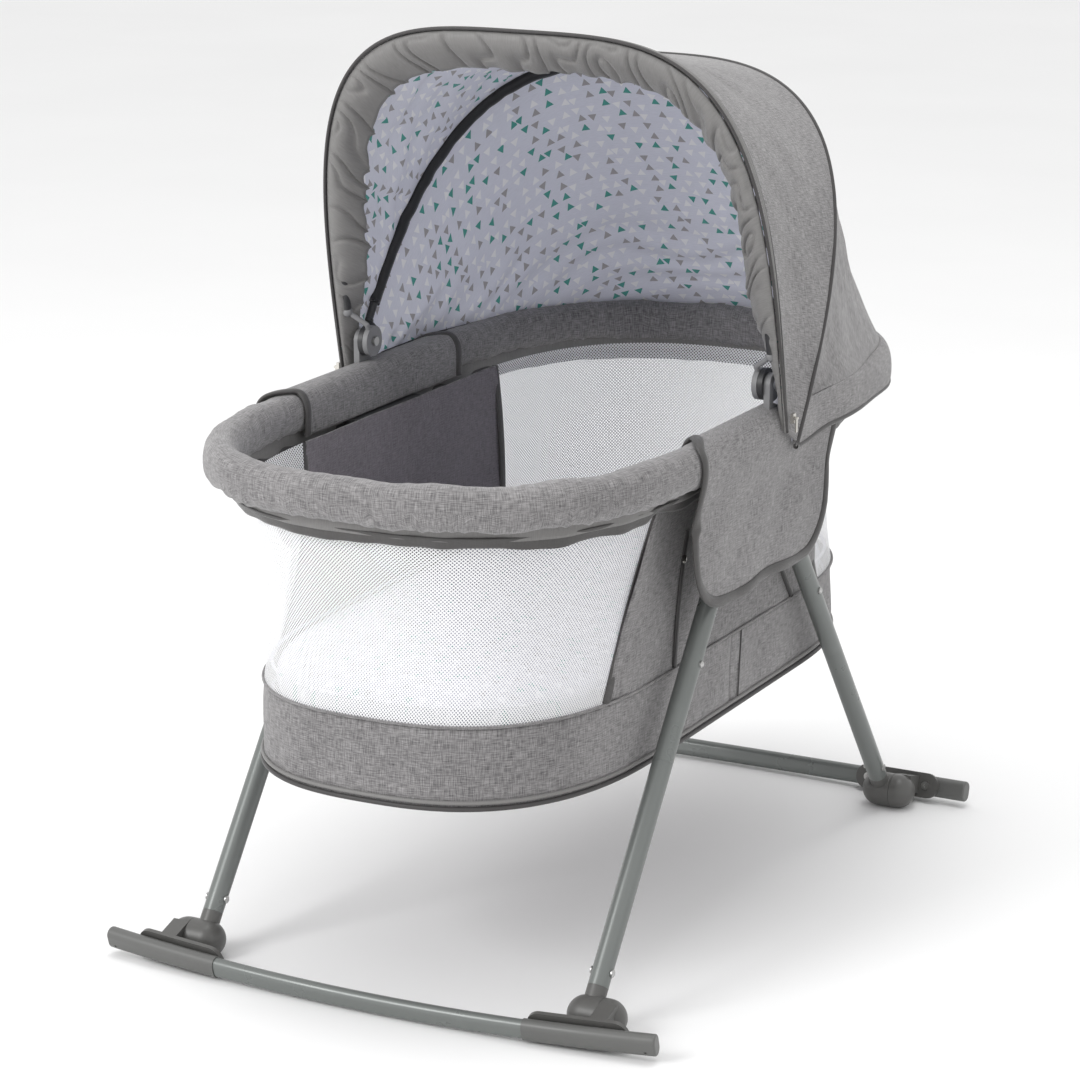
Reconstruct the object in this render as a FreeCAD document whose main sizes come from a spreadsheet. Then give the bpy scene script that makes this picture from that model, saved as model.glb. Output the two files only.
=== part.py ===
"""Bassinet on a folding rocker stand, as a parametric FreeCAD document.

Frame: X across the bassinet, -Y the foot end, +Y the head end under the canopy, +Z up,
origin on the floor under the middle. Every size is a cell of the sheet in DIMENSIONS.
"""
import FreeCAD, Part
import math
import os

import Sketcher
from FreeCAD import Placement, Rotation, Vector

X_AXIS = Vector(1, 0, 0)
Y_AXIS = Vector(0, 1, 0)
Z_AXIS = Vector(0, 0, 1)

# name, value (mm or degrees), meaning
DIMENSIONS = [
    ("rocker_length", 560, "end to end of one rocker bar"),
    ("rocker_tall", 21, "bar section, wide way"),
    ("rocker_deep", 14, "bar section, thin way"),
    ("sleeve_wall", 0.9, "wall of a bar's end sleeve"),
    ("tube_clearance", 0.1, "radial gap between telescoping tubes"),
    ("rocker_middle", 315, "visible length of the bar's middle tube"),
    ("rocker_overlap", 10, "middle tube inside each sleeve"),
    ("rocker_wall", 1.2, "wall of the middle tube"),
    ("rocker_rise", 19.2, "bow of the bar between its ends"),
    ("rocker_tilt", 17, "bow plane below level when the bassinet stands still"),
    ("rocker_out", 31.1, "bar's end centre, outward of the foot axis"),
    ("rocker_up", 8.45, "bar's centre above the foot axis"),
    ("end_cap_lip", 3, "thickness of an end cap's lip"),
    ("end_cap_plug", 12, "length of an end cap's plug"),
    ("foot_axis_y", 341.2, "foot hinge from the middle"),
    ("foot_radius", 17.5, "round foot, also the height of its axis"),
    ("foot_inner_x", 178.5, "inner end of a foot"),
    ("foot_outer_x", 234.5, "outer end of a foot"),
    ("foot_split_x", 212, "joint face between the foot's two lobes"),
    ("foot_gap", 0.4, "gap between the lobes"),
    ("foot_pin_radius", 3, "foot hinge pin"),
    ("foot_pin_inset", 7, "blind end of the pin bore from each end of the foot"),
    ("running_gap", 0.08, "radial gap of a turning pin"),
    ("bracket_length", 95, "plate that carries the bar"),
    ("bracket_tall", 26, "plate height"),
    ("bracket_thick", 4, "plate thickness"),
    ("bracket_gap", 0.7, "packing between the plate and the bar"),
    ("bracket_x", 204.5, "plate centre"),
    ("bracket_screws", 67, "screw spacing on the plate"),
    ("bracket_screw_radius", 2, "screw shank"),
    ("bracket_screw_head", 4.2, "screw head radius"),
    ("bracket_screw_tall", 2, "screw head height"),
    ("bracket_screw_grip", 7, "screw past the plate, into the bar"),
    ("screw_slot", 1, "cross slot of a screw, width and depth"),
    ("leg_x", 199.5, "leg plane from the middle"),
    ("leg_outer", 19, "leg tube outer diameter"),
    ("leg_wall", 1.2, "leg tube wall"),
    ("leg_start", 26, "lower tube's end above the foot axis, along the leg"),
    ("leg_seam", 238, "seam between lower and upper tube, along the leg"),
    ("leg_spigot", 112, "lower tube inside the upper tube"),
    ("foot_spigot", 30, "foot socket inside the lower tube"),
    ("leg_rivet_at", 40, "rivet above the foot axis, along the leg"),
    ("leg_rivet_radius", 2.4, "rivet shank"),
    ("leg_rivet_head", 3.6, "rivet head radius"),
    ("leg_rivet_tall", 1.4, "rivet head height"),
    ("snap_at", 336, "snap button above the foot axis, along the leg"),
    ("snap_radius", 3.1, "snap button"),
    ("snap_proud", 3, "button standing out of the tube"),
    ("snap_gap", 0.3, "gap round a snap button"),
    ("snap_flange", 1.2, "flange past the button's stem, and its thickness"),
    ("leg_head", 12, "upper tube past the hub pin"),
    ("hub_y", 25, "hub pins from the middle"),
    ("hub_z", 431.5, "hub pins above the floor"),
    ("hub_pin_radius", 4, "hub pin"),
    ("hub_pin_head", 6, "hub pin head radius"),
    ("hub_pin_tall", 1.6, "hub pin head height"),
    ("hub_half", 62, "half length of a hub"),
    ("hub_plate", 2.4, "inner hub plate"),
    ("hub_cheek", 4, "outer hub plate"),
    ("hub_side_gap", 0.4, "gap between a leg tube and a hub plate"),
    ("hub_drop", 20, "plates below the pins"),
    ("hub_top_z", 490, "top of the hub block"),
    ("hub_web_z", 449, "underside of the hub's web over the legs"),
    ("rim_width", 212, "rim centre line, half width"),
    ("rim_length", 410, "rim centre line, half length"),
    ("rim_z", 475.5, "rim centre line above the floor"),
    ("rim_tube", 16, "rim tube outer diameter"),
    ("rim_wall", 1.2, "rim tube wall"),
    ("rim_break", 8, "half gap between the rim tubes inside a hub"),
    ("pad_thick", 16, "pad section, half width"),
    ("pad_tall", 20.5, "pad section, half height"),
    ("pad_gap", 0.3, "gap between the pad and the tube"),
    ("pad_to_flap", 2, "gap between the pad's end and the flap"),
    ("straight_half", 150, "straight side of every oval, half length"),
    ("oval_power", 2.6, "fullness of the ovals' ends"),
    ("flap_half", 148, "half length of a side flap"),
    ("flap_thick", 2.5, "flap cloth with its lining"),
    ("flap_over", 2, "flap outside the pad's section"),
    ("flap_bottom_z", 340, "lower edge of a flap"),
    ("flap_inner_z", 456, "inner edge of a flap"),
    ("flap_in", 4, "flap's lower edge drawn in"),
    ("flap_corner", 50, "rounded lower corners of a flap"),
    ("band_bottom_z", 198.5, "bottom edge of the tub"),
    ("band_top_z", 272.5, "seam between band and walls"),
    ("wall_top_z", 454.5, "top of the tub walls"),
    ("tub_width", 177, "tub half width at the band"),
    ("tub_bottom_length", 387, "tub half length at the bottom"),
    ("tub_seam_length", 383, "tub half length at the seam"),
    ("wall_width", 186, "tub half width at the top"),
    ("wall_length", 398, "tub half length at the top"),
    ("cloth", 2, "cloth wall thickness"),
    ("foot_mesh_low_y", 251, "foot mesh's edge at the seam"),
    ("foot_mesh_high_y", 167, "foot mesh's edge at the top"),
    ("head_mesh_low_y", 206, "head mesh's edge at the seam"),
    ("head_mesh_high_y", 206, "head mesh's edge at the top"),
    ("panel_gap", 0.2, "stitched gap between wall panels"),
    ("floor_thick", 2, "cloth floor of the tub"),
    ("board_thick", 52, "padded base board"),
    ("mattress_thick", 38, "mattress"),
    ("mattress_round", 8, "mattress edge radius"),
    ("inset", 4, "mattress and board inside the band"),
    ("fold_y", -6, "canopy axis from the middle"),
    ("fold_z", 518.5, "canopy axis above the floor"),
    ("canopy_disc", 15, "radius of the canopy joint discs"),
    ("canopy_disc_x", 203, "inner face of the canopy joint"),
    ("canopy_disc_thick", 5, "canopy joint disc"),
    ("canopy_disc_gap", 0.4, "gap between the joint discs"),
    ("canopy_post", 6, "canopy post thickness"),
    ("canopy_post_width", 22, "canopy post along the rim"),
    ("canopy_foot", 3, "canopy post's foot flange"),
    ("canopy_screw_radius", 2.5, "canopy joint screw"),
    ("canopy_screw_head", 4.5, "canopy joint screw head"),
    ("bow_radius", 4, "canopy bow rod"),
    ("bow_inset", 11, "bow centre inside the canopy's outer face"),
    ("canopy_cloth", 2.5, "canopy cloth with lining"),
    ("front_y", -11, "front bow plane's base"),
    ("front_z", 476.5, "front bow plane's base"),
    ("front_tilt", 12.1, "front bow plane toward the foot end"),
    ("front_width", 234, "canopy half width at the front edge"),
    ("front_height", 370, "canopy height at the front edge"),
    ("front_power", 3.7, "fullness of the front edge"),
    ("front_back", 4, "front bow behind the canopy's edge"),
    ("front_foot", 26, "front bow's feet above the canopy axis"),
    ("middle_y", 2, "middle seam plane's base"),
    ("middle_z", 464.5, "middle seam plane's base"),
    ("middle_tilt", -32.7, "middle seam plane toward the head end"),
    ("middle_width", 239, "canopy half width at the middle seam"),
    ("middle_height", 379, "canopy height at the middle seam"),
    ("middle_power", 3.0, "fullness of the middle seam"),
    ("middle_rod_y", 8, "middle bow plane's base"),
    ("middle_rod_z", 505, "middle bow plane's base"),
    ("middle_foot", 8, "middle bow's feet above the canopy axis"),
    ("skirt_width", 237, "canopy half width round the rim"),
    ("skirt_length", 431, "canopy half length round the rim"),
    ("skirt_top_z", 496, "skirt where it passes the pad's top"),
    ("skirt_bottom_z", 462, "lower edge of the skirt"),
    ("skirt_start", 12, "skirt's front edge from the middle"),
    ("slider_z", 490, "zip slider above the floor"),
    ("slider_tall", 9, "zip slider"),
    ("slider_wide", 6, "zip slider"),
    ("slider_thick", 3, "zip slider"),
    ("pin_stand", 1.7, "slider's pin out from its body"),
    ("pin_radius", 0.6, "slider's pin"),
    ("pin_slack", 0.1, "gap round the slider's pin"),
    ("ear_wide", 1.1, "ears that hold the slider's pin"),
    ("ear_radius", 1.1, "half height of an ear"),
    ("knuckle_radius", 1.35, "end of the pull round the pin"),
    ("pull_length", 13, "zip pull below its pin"),
    ("pull_wide", 3.4, "zip pull, between the ears"),
    ("pull_thick", 1.4, "zip pull"),
]

doc = FreeCAD.newDocument("bassinet")
sheet = doc.addObject("Spreadsheet::Sheet", "sheet")
for row, (alias, number, meaning) in enumerate(DIMENSIONS, start=1):
    sheet.set(f"A{row}", meaning)
    sheet.set(f"B{row}", str(number))
    sheet.setAlias(f"B{row}", alias)
doc.recompute()

parts = {}


def size(alias):
    """A driving dimension, read from the sheet."""
    return float(sheet.get(alias))


def bind(feature, **expressions):
    """Tie a feature's properties to sheet expressions, such as Radius='sheet.foot_radius'."""
    for name, expression in expressions.items():
        feature.setExpression(name, expression)
    return feature


def keep(feature, label):
    """Name a finished sub-part; its label is its file name."""
    feature.Label = label
    parts[label] = feature
    return feature


# ---------------------------------------------------------------- primitives and booleans
def cylinder(radius, height, base=Vector(), axis=Z_AXIS):
    """Cylinder from base along axis; radius and height are sheet expressions."""
    feature = bind(doc.addObject("Part::Cylinder", "cylinder"), Radius=radius, Height=height)
    feature.Placement = Placement(base, Rotation(Z_AXIS, axis))
    return feature


def ball(radius, centre):
    """Sphere; radius is a sheet expression."""
    feature = bind(doc.addObject("Part::Sphere", "ball"), Radius=radius)
    feature.Placement = Placement(centre, Rotation())
    return feature


def block(length, width, height, corner):
    """Box with one corner at corner; the three sizes are sheet expressions."""
    feature = doc.addObject("Part::Box", "block")
    bind(feature, Length=length, Width=width, Height=height)
    feature.Placement = Placement(corner, Rotation())
    return feature


def fuse(*shapes):
    """Union of features."""
    feature = doc.addObject("Part::MultiFuse", "fuse")
    feature.Shapes = list(shapes)
    feature.Refine = True
    return feature


def cut(base, *tools):
    """Base less each tool."""
    for tool in tools:
        feature = doc.addObject("Part::Cut", "cut")
        feature.Base = base
        feature.Tool = tool
        base = feature
    return base


def mirrored(source, label):
    """The same piece on the other side of X = 0."""
    feature = doc.addObject("Part::Mirroring", "mirror")
    feature.Source = source
    feature.Normal = X_AXIS
    return keep(feature, label)


def group(features, label, placement=None):
    """Identical pieces that share a node, as one compound."""
    feature = doc.addObject("Part::Compound", "group")
    feature.Links = features
    if placement:
        feature.Placement = placement
    return keep(feature, label)


def shaped(shape, label, placement=None):
    """A piece whose shape is swept or lofted with Part's own functions."""
    feature = doc.addObject("Part::Feature", "shape")
    feature.Shape = shape
    if placement:
        feature.Placement = placement
    return keep(feature, label) if label else feature


# ---------------------------------------------------------------- sketched bodies
def origin_plane(body, role):
    """One of a body's own origin planes."""
    return next(item for item in body.Origin.OriginFeatures if item.Role == role)


def plane_sketch(body, role, offset=0.0):
    """Empty sketch on an origin plane, shifted along its normal."""
    sketch = body.newObject("Sketcher::SketchObject", "sketch")
    sketch.AttachmentSupport = [(origin_plane(body, role), "")]
    sketch.MapMode = "FlatFace"
    sketch.AttachmentOffset = Placement(Vector(0, 0, offset), Rotation())
    return sketch


def draw_slot(sketch, long_way, short_way, centre, upright=True):
    """Slot outline with round ends; the two sizes are sheet expressions."""
    long_value = float(sketch.evalExpression(long_way))
    short_value = float(sketch.evalExpression(short_way))
    radius = short_value / 2
    reach = long_value / 2 - radius
    along = Vector(0, 1, 0) if upright else Vector(1, 0, 0)
    across = Vector(-1, 0, 0) if upright else Vector(0, 1, 0)
    quarter = math.pi / 2 if upright else 0.0
    far, near = centre + along * reach, centre - along * reach
    start = sketch.GeometryCount
    circle_far = Part.Circle(far, Z_AXIS, radius)
    circle_near = Part.Circle(near, Z_AXIS, radius)
    sketch.addGeometry(Part.ArcOfCircle(circle_far, quarter - math.pi / 2, quarter + math.pi / 2))
    sketch.addGeometry(Part.ArcOfCircle(circle_near, quarter + math.pi / 2, quarter + 1.5 * math.pi))
    sketch.addGeometry(Part.LineSegment(far + across * radius, near + across * radius))
    sketch.addGeometry(Part.LineSegment(near - across * radius, far - across * radius))
    sketch.addConstraint(Sketcher.Constraint("Tangent", start, 2, start + 2, 1))
    sketch.addConstraint(Sketcher.Constraint("Tangent", start + 2, 2, start + 1, 1))
    sketch.addConstraint(Sketcher.Constraint("Tangent", start + 1, 2, start + 3, 1))
    sketch.addConstraint(Sketcher.Constraint("Tangent", start + 3, 2, start, 1))
    width = sketch.addConstraint(Sketcher.Constraint("Radius", start, radius))
    length = sketch.addConstraint(Sketcher.Constraint("Distance", start, 3, start + 1, 3, 2 * reach))
    sketch.setExpression(f"Constraints[{width}]", f"({short_way}) / 2")
    sketch.setExpression(f"Constraints[{length}]", f"({long_way}) - ({short_way})")


def draw_circle(sketch, radius, centre):
    """Circle; radius is a sheet expression."""
    value = float(sketch.evalExpression(radius))
    index = sketch.addGeometry(Part.Circle(centre, Z_AXIS, value))
    constraint = sketch.addConstraint(Sketcher.Constraint("Radius", index, value))
    sketch.setExpression(f"Constraints[{constraint}]", radius)


def draw_step_profile(sketch, steps):
    """Closed stepped outline in the plane's first quadrant, as (radius, height) corners."""
    corners = [Vector(radius, height, 0) for radius, height in steps]
    for first, second in zip(corners, corners[1:] + corners[:1]):
        sketch.addGeometry(Part.LineSegment(first, second))
    count = len(corners)
    for index in range(count):
        following = (index + 1) % count
        sketch.addConstraint(Sketcher.Constraint("Coincident", index, 2, following, 1))


def draw_oval(sketch, width, length):
    """The tub's oval: straight sides and full round ends."""
    for edge in oval_wire(width, length, 0).Edges:
        curve, low, high = edge.Curve, edge.FirstParameter, edge.LastParameter
        if isinstance(curve, Part.Line):
            sketch.addGeometry(Part.LineSegment(curve.value(low), curve.value(high)))
        else:
            sketch.addGeometry(curve)


def new_body(label, placement=None):
    """Empty PartDesign body that is a sub-part of its own."""
    body = doc.addObject("PartDesign::Body", "body")
    if placement:
        body.Placement = placement
    return keep(body, label)


def pad(body, sketch, length, backward=False):
    """Pad of a sketch; length is a sheet expression."""
    feature = body.newObject("PartDesign::Pad", "pad")
    feature.Profile = sketch
    feature.Reversed = backward
    sketch.Visibility = False
    return bind(feature, Length=length)


def revolve(body, sketch, angle=None):
    """Revolution about the sketch's vertical axis; angle in degrees, centred on the sketch."""
    feature = body.newObject("PartDesign::Revolution", "revolution")
    feature.Profile = sketch
    feature.ReferenceAxis = (sketch, ["V_Axis"])
    if angle is not None:
        feature.Midplane = True
        feature.Angle = angle
    return feature


# ---------------------------------------------------------------- outlines
def oval_wire(width, length, z, straight=None):
    """Closed oval of half width and half length: straight sides, superellipse ends."""
    straight = size("straight_half") if straight is None else straight
    power = size("oval_power")
    count = 16
    ends = []
    for sign in (1, -1):
        points = []
        for step in range(count + 1):
            angle = math.pi * step / count
            across = math.copysign(abs(math.cos(angle)) ** (2 / power), math.cos(angle))
            along = math.sin(angle) ** (2 / power) if 0 < step < count else 0.0
            reach = straight + (length - straight) * along
            points.append(Vector(sign * width * across, sign * reach, z))
        curve = Part.BSplineCurve()
        up = Vector(0, sign, 0)
        curve.interpolate(Points=points, InitialTangent=up, FinalTangent=-up)
        ends.append(curve.toShape())
    left = Part.LineSegment(Vector(-width, straight, z), Vector(-width, -straight, z))
    right = Part.LineSegment(Vector(width, -straight, z), Vector(width, straight, z))
    return Part.Wire([ends[0], left.toShape(), ends[1], right.toShape()])


def oval_wall(low, high, thickness):
    """Wall between two ovals, each (half width, half length, z)."""
    outer = Part.makeLoft([oval_wire(*low), oval_wire(*high)], True, True)
    inner_low = oval_wire(low[0] - thickness, low[1] - thickness, low[2])
    inner_high = oval_wire(high[0] - thickness, high[1] - thickness, high[2])
    return outer.cut(Part.makeLoft([inner_low, inner_high], True, True))


def bow_points(width, height, power, count=24):
    """Arch of a bow in its own plane, from one foot to the other, as (across, up)."""
    points = []
    for step in range(count + 1):
        angle = math.pi * step / count
        across = math.copysign(abs(math.cos(angle)) ** (2 / power), math.cos(angle))
        up = math.sin(angle) ** (2 / power) if 0 < step < count else 0.0
        points.append((width * across, height * up))
    return points


def bow_curve(width, height, power):
    """Arch as one smooth curve that leaves the base line square."""
    points = [Vector(across, 0, up) for across, up in bow_points(width, height, power)]
    curve = Part.BSplineCurve()
    curve.interpolate(Points=points, InitialTangent=Z_AXIS, FinalTangent=-Z_AXIS)
    return curve.toShape()


def bow_plane(base_y, base_z, tilt):
    """Placement of a bow's plane: tilt is degrees from upright toward the foot end."""
    return Placement(Vector(0, base_y, base_z), Rotation(X_AXIS, tilt))


def bow_band(width, height, power, thickness, placement):
    """Closed outline between a bow's outer and inner arch, in the bow's plane."""
    outer = bow_curve(width, height, power)
    inner = bow_curve(width - thickness, height - thickness, power)
    first = Part.LineSegment(Vector(width, 0, 0), Vector(width - thickness, 0, 0)).toShape()
    last = Part.LineSegment(Vector(thickness - width, 0, 0), Vector(-width, 0, 0)).toShape()
    wire = Part.Wire(Part.__sortEdges__([outer, last, inner, first]))
    wire.Placement = placement
    return wire


def swept(path, profile):
    """Solid of a closed profile carried along a path."""
    return Part.Wire(path).makePipeShell([Part.Wire(profile)], True, False)


def swept_tube(path, start, direction, outer, inner):
    """Round tube along a path."""
    solids = []
    for radius in (outer, inner):
        circle = Part.Circle(start, direction, radius).toShape()
        solids.append(swept(path, [circle]))
    return solids[0].cut(solids[1])


# ---------------------------------------------------------------- rocker bars and feet
def rocker_frame(rear):
    """Frame at the middle of a foot axis: -Y outward, tilted as it stands."""
    turn = Placement(Vector(), Rotation(Z_AXIS, 180 if rear else 0))
    place = Vector(0, -size("foot_axis_y"), size("foot_radius"))
    return turn * Placement(place, Rotation(X_AXIS, size("rocker_tilt")))


def rocker_radius():
    """Radius of the bar's centre line from its length and rise."""
    half, rise = size("rocker_length") / 2, size("rocker_rise")
    return (half**2 + rise**2) / (2 * rise)


def rocker_centre():
    """Centre of the bar's arc in the rocker frame."""
    crown = size("rocker_out") + size("rocker_rise")
    return Vector(0, rocker_radius() - crown, size("rocker_up"))


def rocker_angle(across):
    """Angle on the bar's arc at a distance across from the middle."""
    return math.degrees(math.asin(across / rocker_radius()))


def rocker_arc(frame, low, high, long_way, short_way, wall):
    """Stretch of bent flat-oval tube between two distances across."""
    middle = (rocker_angle(low) + rocker_angle(high)) / 2
    turn = Placement(rocker_centre(), Rotation(Z_AXIS, middle))
    body = doc.addObject("PartDesign::Body", "tube")
    body.Placement = frame * turn
    sketch = plane_sketch(body, "YZ_Plane")
    centre = Vector(-rocker_radius(), 0, 0)
    draw_slot(sketch, long_way, short_way, centre)
    draw_slot(sketch, f"{long_way} - 2 * {wall}", f"{short_way} - 2 * {wall}", centre)
    revolve(body, sketch, rocker_angle(high) - rocker_angle(low))
    return body


def on_rocker(across, outward=0.0, up=0.0):
    """Placement on the bar's centre line, X along the bar, -Y outward."""
    angle = rocker_angle(across)
    turn = Placement(rocker_centre(), Rotation(Z_AXIS, angle))
    return turn * Placement(Vector(0, -rocker_radius() - outward, up), Rotation())


def make_sleeve(frame, side):
    """End sleeve of a bar, drilled for its bracket screws and its cap's rivet."""
    start, end = size("rocker_middle") / 2, size("rocker_length") / 2 - size("end_cap_lip")
    low, high = (start, end) if side > 0 else (-end, -start)
    body = rocker_arc(frame, low, high, "sheet.rocker_tall", "sheet.rocker_deep", "sheet.sleeve_wall")
    tools = []
    for offset in (-0.5, 0.5):
        spot = frame * on_rocker(side * size("bracket_x"))
        shift = Placement(Vector(offset * size("bracket_screws"), 0, 0), Rotation(X_AXIS, -90))
        hole = cylinder("sheet.bracket_screw_radius + sheet.snap_gap", "sheet.rocker_deep")
        hole.Placement = spot * shift
        tools.append(hole)
    hole = cylinder("sheet.leg_wall", "sheet.rocker_deep")
    low_spot = Placement(Vector(0, 0, -size("rocker_tall") / 5), Rotation(X_AXIS, 90))
    hole.Placement = frame * on_rocker(side * (end - size("end_cap_plug") / 2)) * low_spot
    tools.append(hole)
    return cut(body, *tools)


def make_end_cap(frame, side):
    """Plug with a rounded lip that closes a bar's end."""
    end = size("rocker_length") / 2 - size("end_cap_lip")
    body = doc.addObject("PartDesign::Body", "cap")
    turn = Placement(Vector(), Rotation(Z_AXIS, 0 if side > 0 else 180))
    body.Placement = frame * on_rocker(side * end) * turn
    lip = plane_sketch(body, "YZ_Plane")
    draw_slot(lip, "sheet.rocker_tall", "sheet.rocker_deep", Vector())
    feature = pad(body, lip, "sheet.end_cap_lip")
    doc.recompute()
    rim = max(range(len(feature.Shape.Faces)), key=lambda i: feature.Shape.Faces[i].CenterOfMass.x)
    fillet = body.newObject("PartDesign::Fillet", "fillet")
    fillet.Base = (feature, [f"Face{rim + 1}"])
    bind(fillet, Radius="sheet.end_cap_lip * 0.6")
    plug = plane_sketch(body, "YZ_Plane")
    inside = "2 * (sheet.sleeve_wall + sheet.tube_clearance)"
    draw_slot(plug, f"sheet.rocker_tall - {inside}", f"sheet.rocker_deep - {inside}", Vector())
    pad(body, plug, "sheet.end_cap_plug", backward=True)
    return body


def make_bracket(label, frame, side):
    """Plate on the bar's inner face, with the outer lobe of the foot."""
    face_y = size("rocker_deep") / 2 + size("bracket_gap")
    plate_body = doc.addObject("PartDesign::Body", "plate")
    plate_body.Placement = on_rocker(side * size("bracket_x"))
    outline = plane_sketch(plate_body, "XZ_Plane", -face_y)
    draw_slot(outline, "sheet.bracket_length", "sheet.bracket_tall", Vector(), upright=False)
    for offset in (-0.5, 0.5):
        spot = Vector(offset * size("bracket_screws"), 0, 0)
        draw_circle(outline, "sheet.bracket_screw_radius", spot)
    pad(plate_body, outline, "sheet.bracket_thick", backward=True)

    radius = size("foot_radius")
    start = size("foot_split_x") + size("foot_gap") / 2
    round_x = size("foot_outer_x") - radius
    lobe = cylinder("sheet.foot_radius", f"{round_x - start}", Vector(side * start, 0, 0), X_AXIS * side)
    end = ball("sheet.foot_radius", Vector(side * round_x, 0, 0))
    half_space = block("4 * sheet.foot_radius", "4 * sheet.foot_radius", "4 * sheet.foot_radius",
                       Vector(start - 4 * radius if side > 0 else -start, -2 * radius, -2 * radius))
    dome = cut(end, half_space)
    plate_y = rocker_centre().y - rocker_radius() * math.cos(math.radians(rocker_angle(size("bracket_x"))))
    web_low = plate_y + face_y + size("bracket_thick") / 2
    web_width = size("foot_outer_x") - radius / 3 - start
    web_tall = size("bracket_tall") * 0.7
    corner = Vector(start if side > 0 else -start - web_width, web_low, size("rocker_up") - web_tall / 2)
    web = block(f"{web_width}", f"{-web_low}", f"{web_tall}", corner)
    bore_start = Vector(side * (start - 1), 0, 0)
    bore_length = "sheet.foot_outer_x - sheet.foot_pin_inset - sheet.foot_split_x - sheet.foot_gap / 2 + 1"
    bore = cylinder("sheet.foot_pin_radius", bore_length, bore_start, X_AXIS * side)
    bracket = cut(fuse(plate_body, lobe, dome, web), bore)
    bracket.Placement = frame
    return keep(bracket, label)


def make_hinge_pins(label, frame):
    """The two pins that carry a rocker on its feet."""
    length = "sheet.foot_outer_x - sheet.foot_inner_x - 2 * sheet.foot_pin_inset - 1"
    pins = []
    for side in (1, -1):
        start = size("foot_inner_x") + size("foot_pin_inset") + 1
        pins.append(cylinder("sheet.foot_pin_radius", length, Vector(side * start, 0, 0), X_AXIS * side))
    return group(pins, label, frame)


def make_bracket_screws(label, frame):
    """Pan-head screws through the plates into the bar."""
    screws = []
    head_y = size("rocker_deep") / 2 + size("bracket_gap") + size("bracket_thick")
    slot_y = head_y + size("bracket_screw_tall") - size("screw_slot")
    reach, slot = size("bracket_screw_head"), size("screw_slot")
    for side in (1, -1):
        for offset in (-0.5, 0.5):
            x = offset * size("bracket_screws")
            seat = Vector(x, head_y, 0)
            shank = cylinder("sheet.bracket_screw_radius", "sheet.bracket_thick + sheet.bracket_screw_grip",
                             seat, -Y_AXIS)
            head = cylinder("sheet.bracket_screw_head", "sheet.bracket_screw_tall", seat, Y_AXIS)
            level = block("sheet.bracket_screw_head", "2 * sheet.screw_slot", "sheet.screw_slot",
                          Vector(x - reach / 2, slot_y, -slot / 2))
            upright = block("sheet.screw_slot", "2 * sheet.screw_slot", "sheet.bracket_screw_head",
                            Vector(x - slot / 2, slot_y, -reach / 2))
            screw = cut(fuse(shank, head), level, upright)
            screw.Placement = on_rocker(side * size("bracket_x"))
            screws.append(screw)
    return group(screws, label, frame)


def make_rocker(end, rear):
    """One rocker: bent middle tube, end sleeves, caps, brackets and their hardware."""
    frame = rocker_frame(rear)
    fit = "2 * (sheet.sleeve_wall + sheet.tube_clearance)"
    reach = size("rocker_middle") / 2 + size("rocker_overlap")
    tube = rocker_arc(frame, -reach, reach, f"(sheet.rocker_tall - {fit})", f"(sheet.rocker_deep - {fit})",
                      "sheet.rocker_wall")
    keep(tube, f"{end}_rocker_tube")
    for name, side in {"right": 1, "left": -1}.items():
        turned = -side if rear else side
        make_bracket(f"{end}_{name}_foot_bracket", frame, turned)
    group([make_sleeve(frame, side) for side in (1, -1)], f"{end}_rocker_sleeves")
    group([make_end_cap(frame, side) for side in (1, -1)], f"{end}_rocker_end_caps")
    make_hinge_pins(f"{end}_foot_hinge_pins", frame)
    make_bracket_screws(f"{end}_bracket_screws", frame)


# ---------------------------------------------------------------- legs
def leg_frame(rear, side):
    """Frame at a foot: +Z up the leg, +X away from the tub."""
    run = size("foot_axis_y") - size("hub_y")
    lean = math.degrees(math.atan2(run, size("hub_z") - size("foot_radius")))
    sign = 1 if rear else -1
    place = Vector(side * size("leg_x"), sign * size("foot_axis_y"), size("foot_radius"))
    turn = Rotation(X_AXIS, sign * lean) * Rotation(Z_AXIS, 0 if side > 0 else 180)
    return Placement(place, turn)


def leg_length():
    """Foot axis to hub pin."""
    return math.hypot(size("foot_axis_y") - size("hub_y"), size("hub_z") - size("foot_radius"))


def drilled(body, tools, frame, label):
    """A turned tube with cross holes, placed on its leg."""
    piece = cut(body, *tools)
    piece.Placement = frame
    return keep(piece, label)


def snap_hole():
    """Hole for the snap button, out through one side of a leg tube."""
    return cylinder("sheet.snap_radius + sheet.snap_gap", "sheet.leg_outer",
                    Vector(0, 0, size("snap_at")), X_AXIS)


def make_lower_leg(label, frame):
    """Lower tube with a reduced end that slides into the upper tube."""
    outer, wall = size("leg_outer") / 2, size("leg_wall")
    spigot = outer - wall - size("tube_clearance")
    start, seam = size("leg_start"), size("leg_seam")
    top = seam + size("leg_spigot")
    body = doc.addObject("PartDesign::Body", "tube")
    sketch = plane_sketch(body, "XZ_Plane")
    draw_step_profile(sketch, [(outer - wall, start), (outer, start), (outer, seam), (spigot, seam),
                               (spigot, top), (spigot - wall, top), (spigot - wall, seam - wall),
                               (outer - wall, seam - wall)])
    revolve(body, sketch)
    rivet = cylinder("sheet.leg_rivet_radius", "sheet.leg_outer + 2",
                     Vector(-outer - 1, 0, size("leg_rivet_at")), X_AXIS)
    return drilled(body, [rivet, snap_hole()], frame, label)


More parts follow.
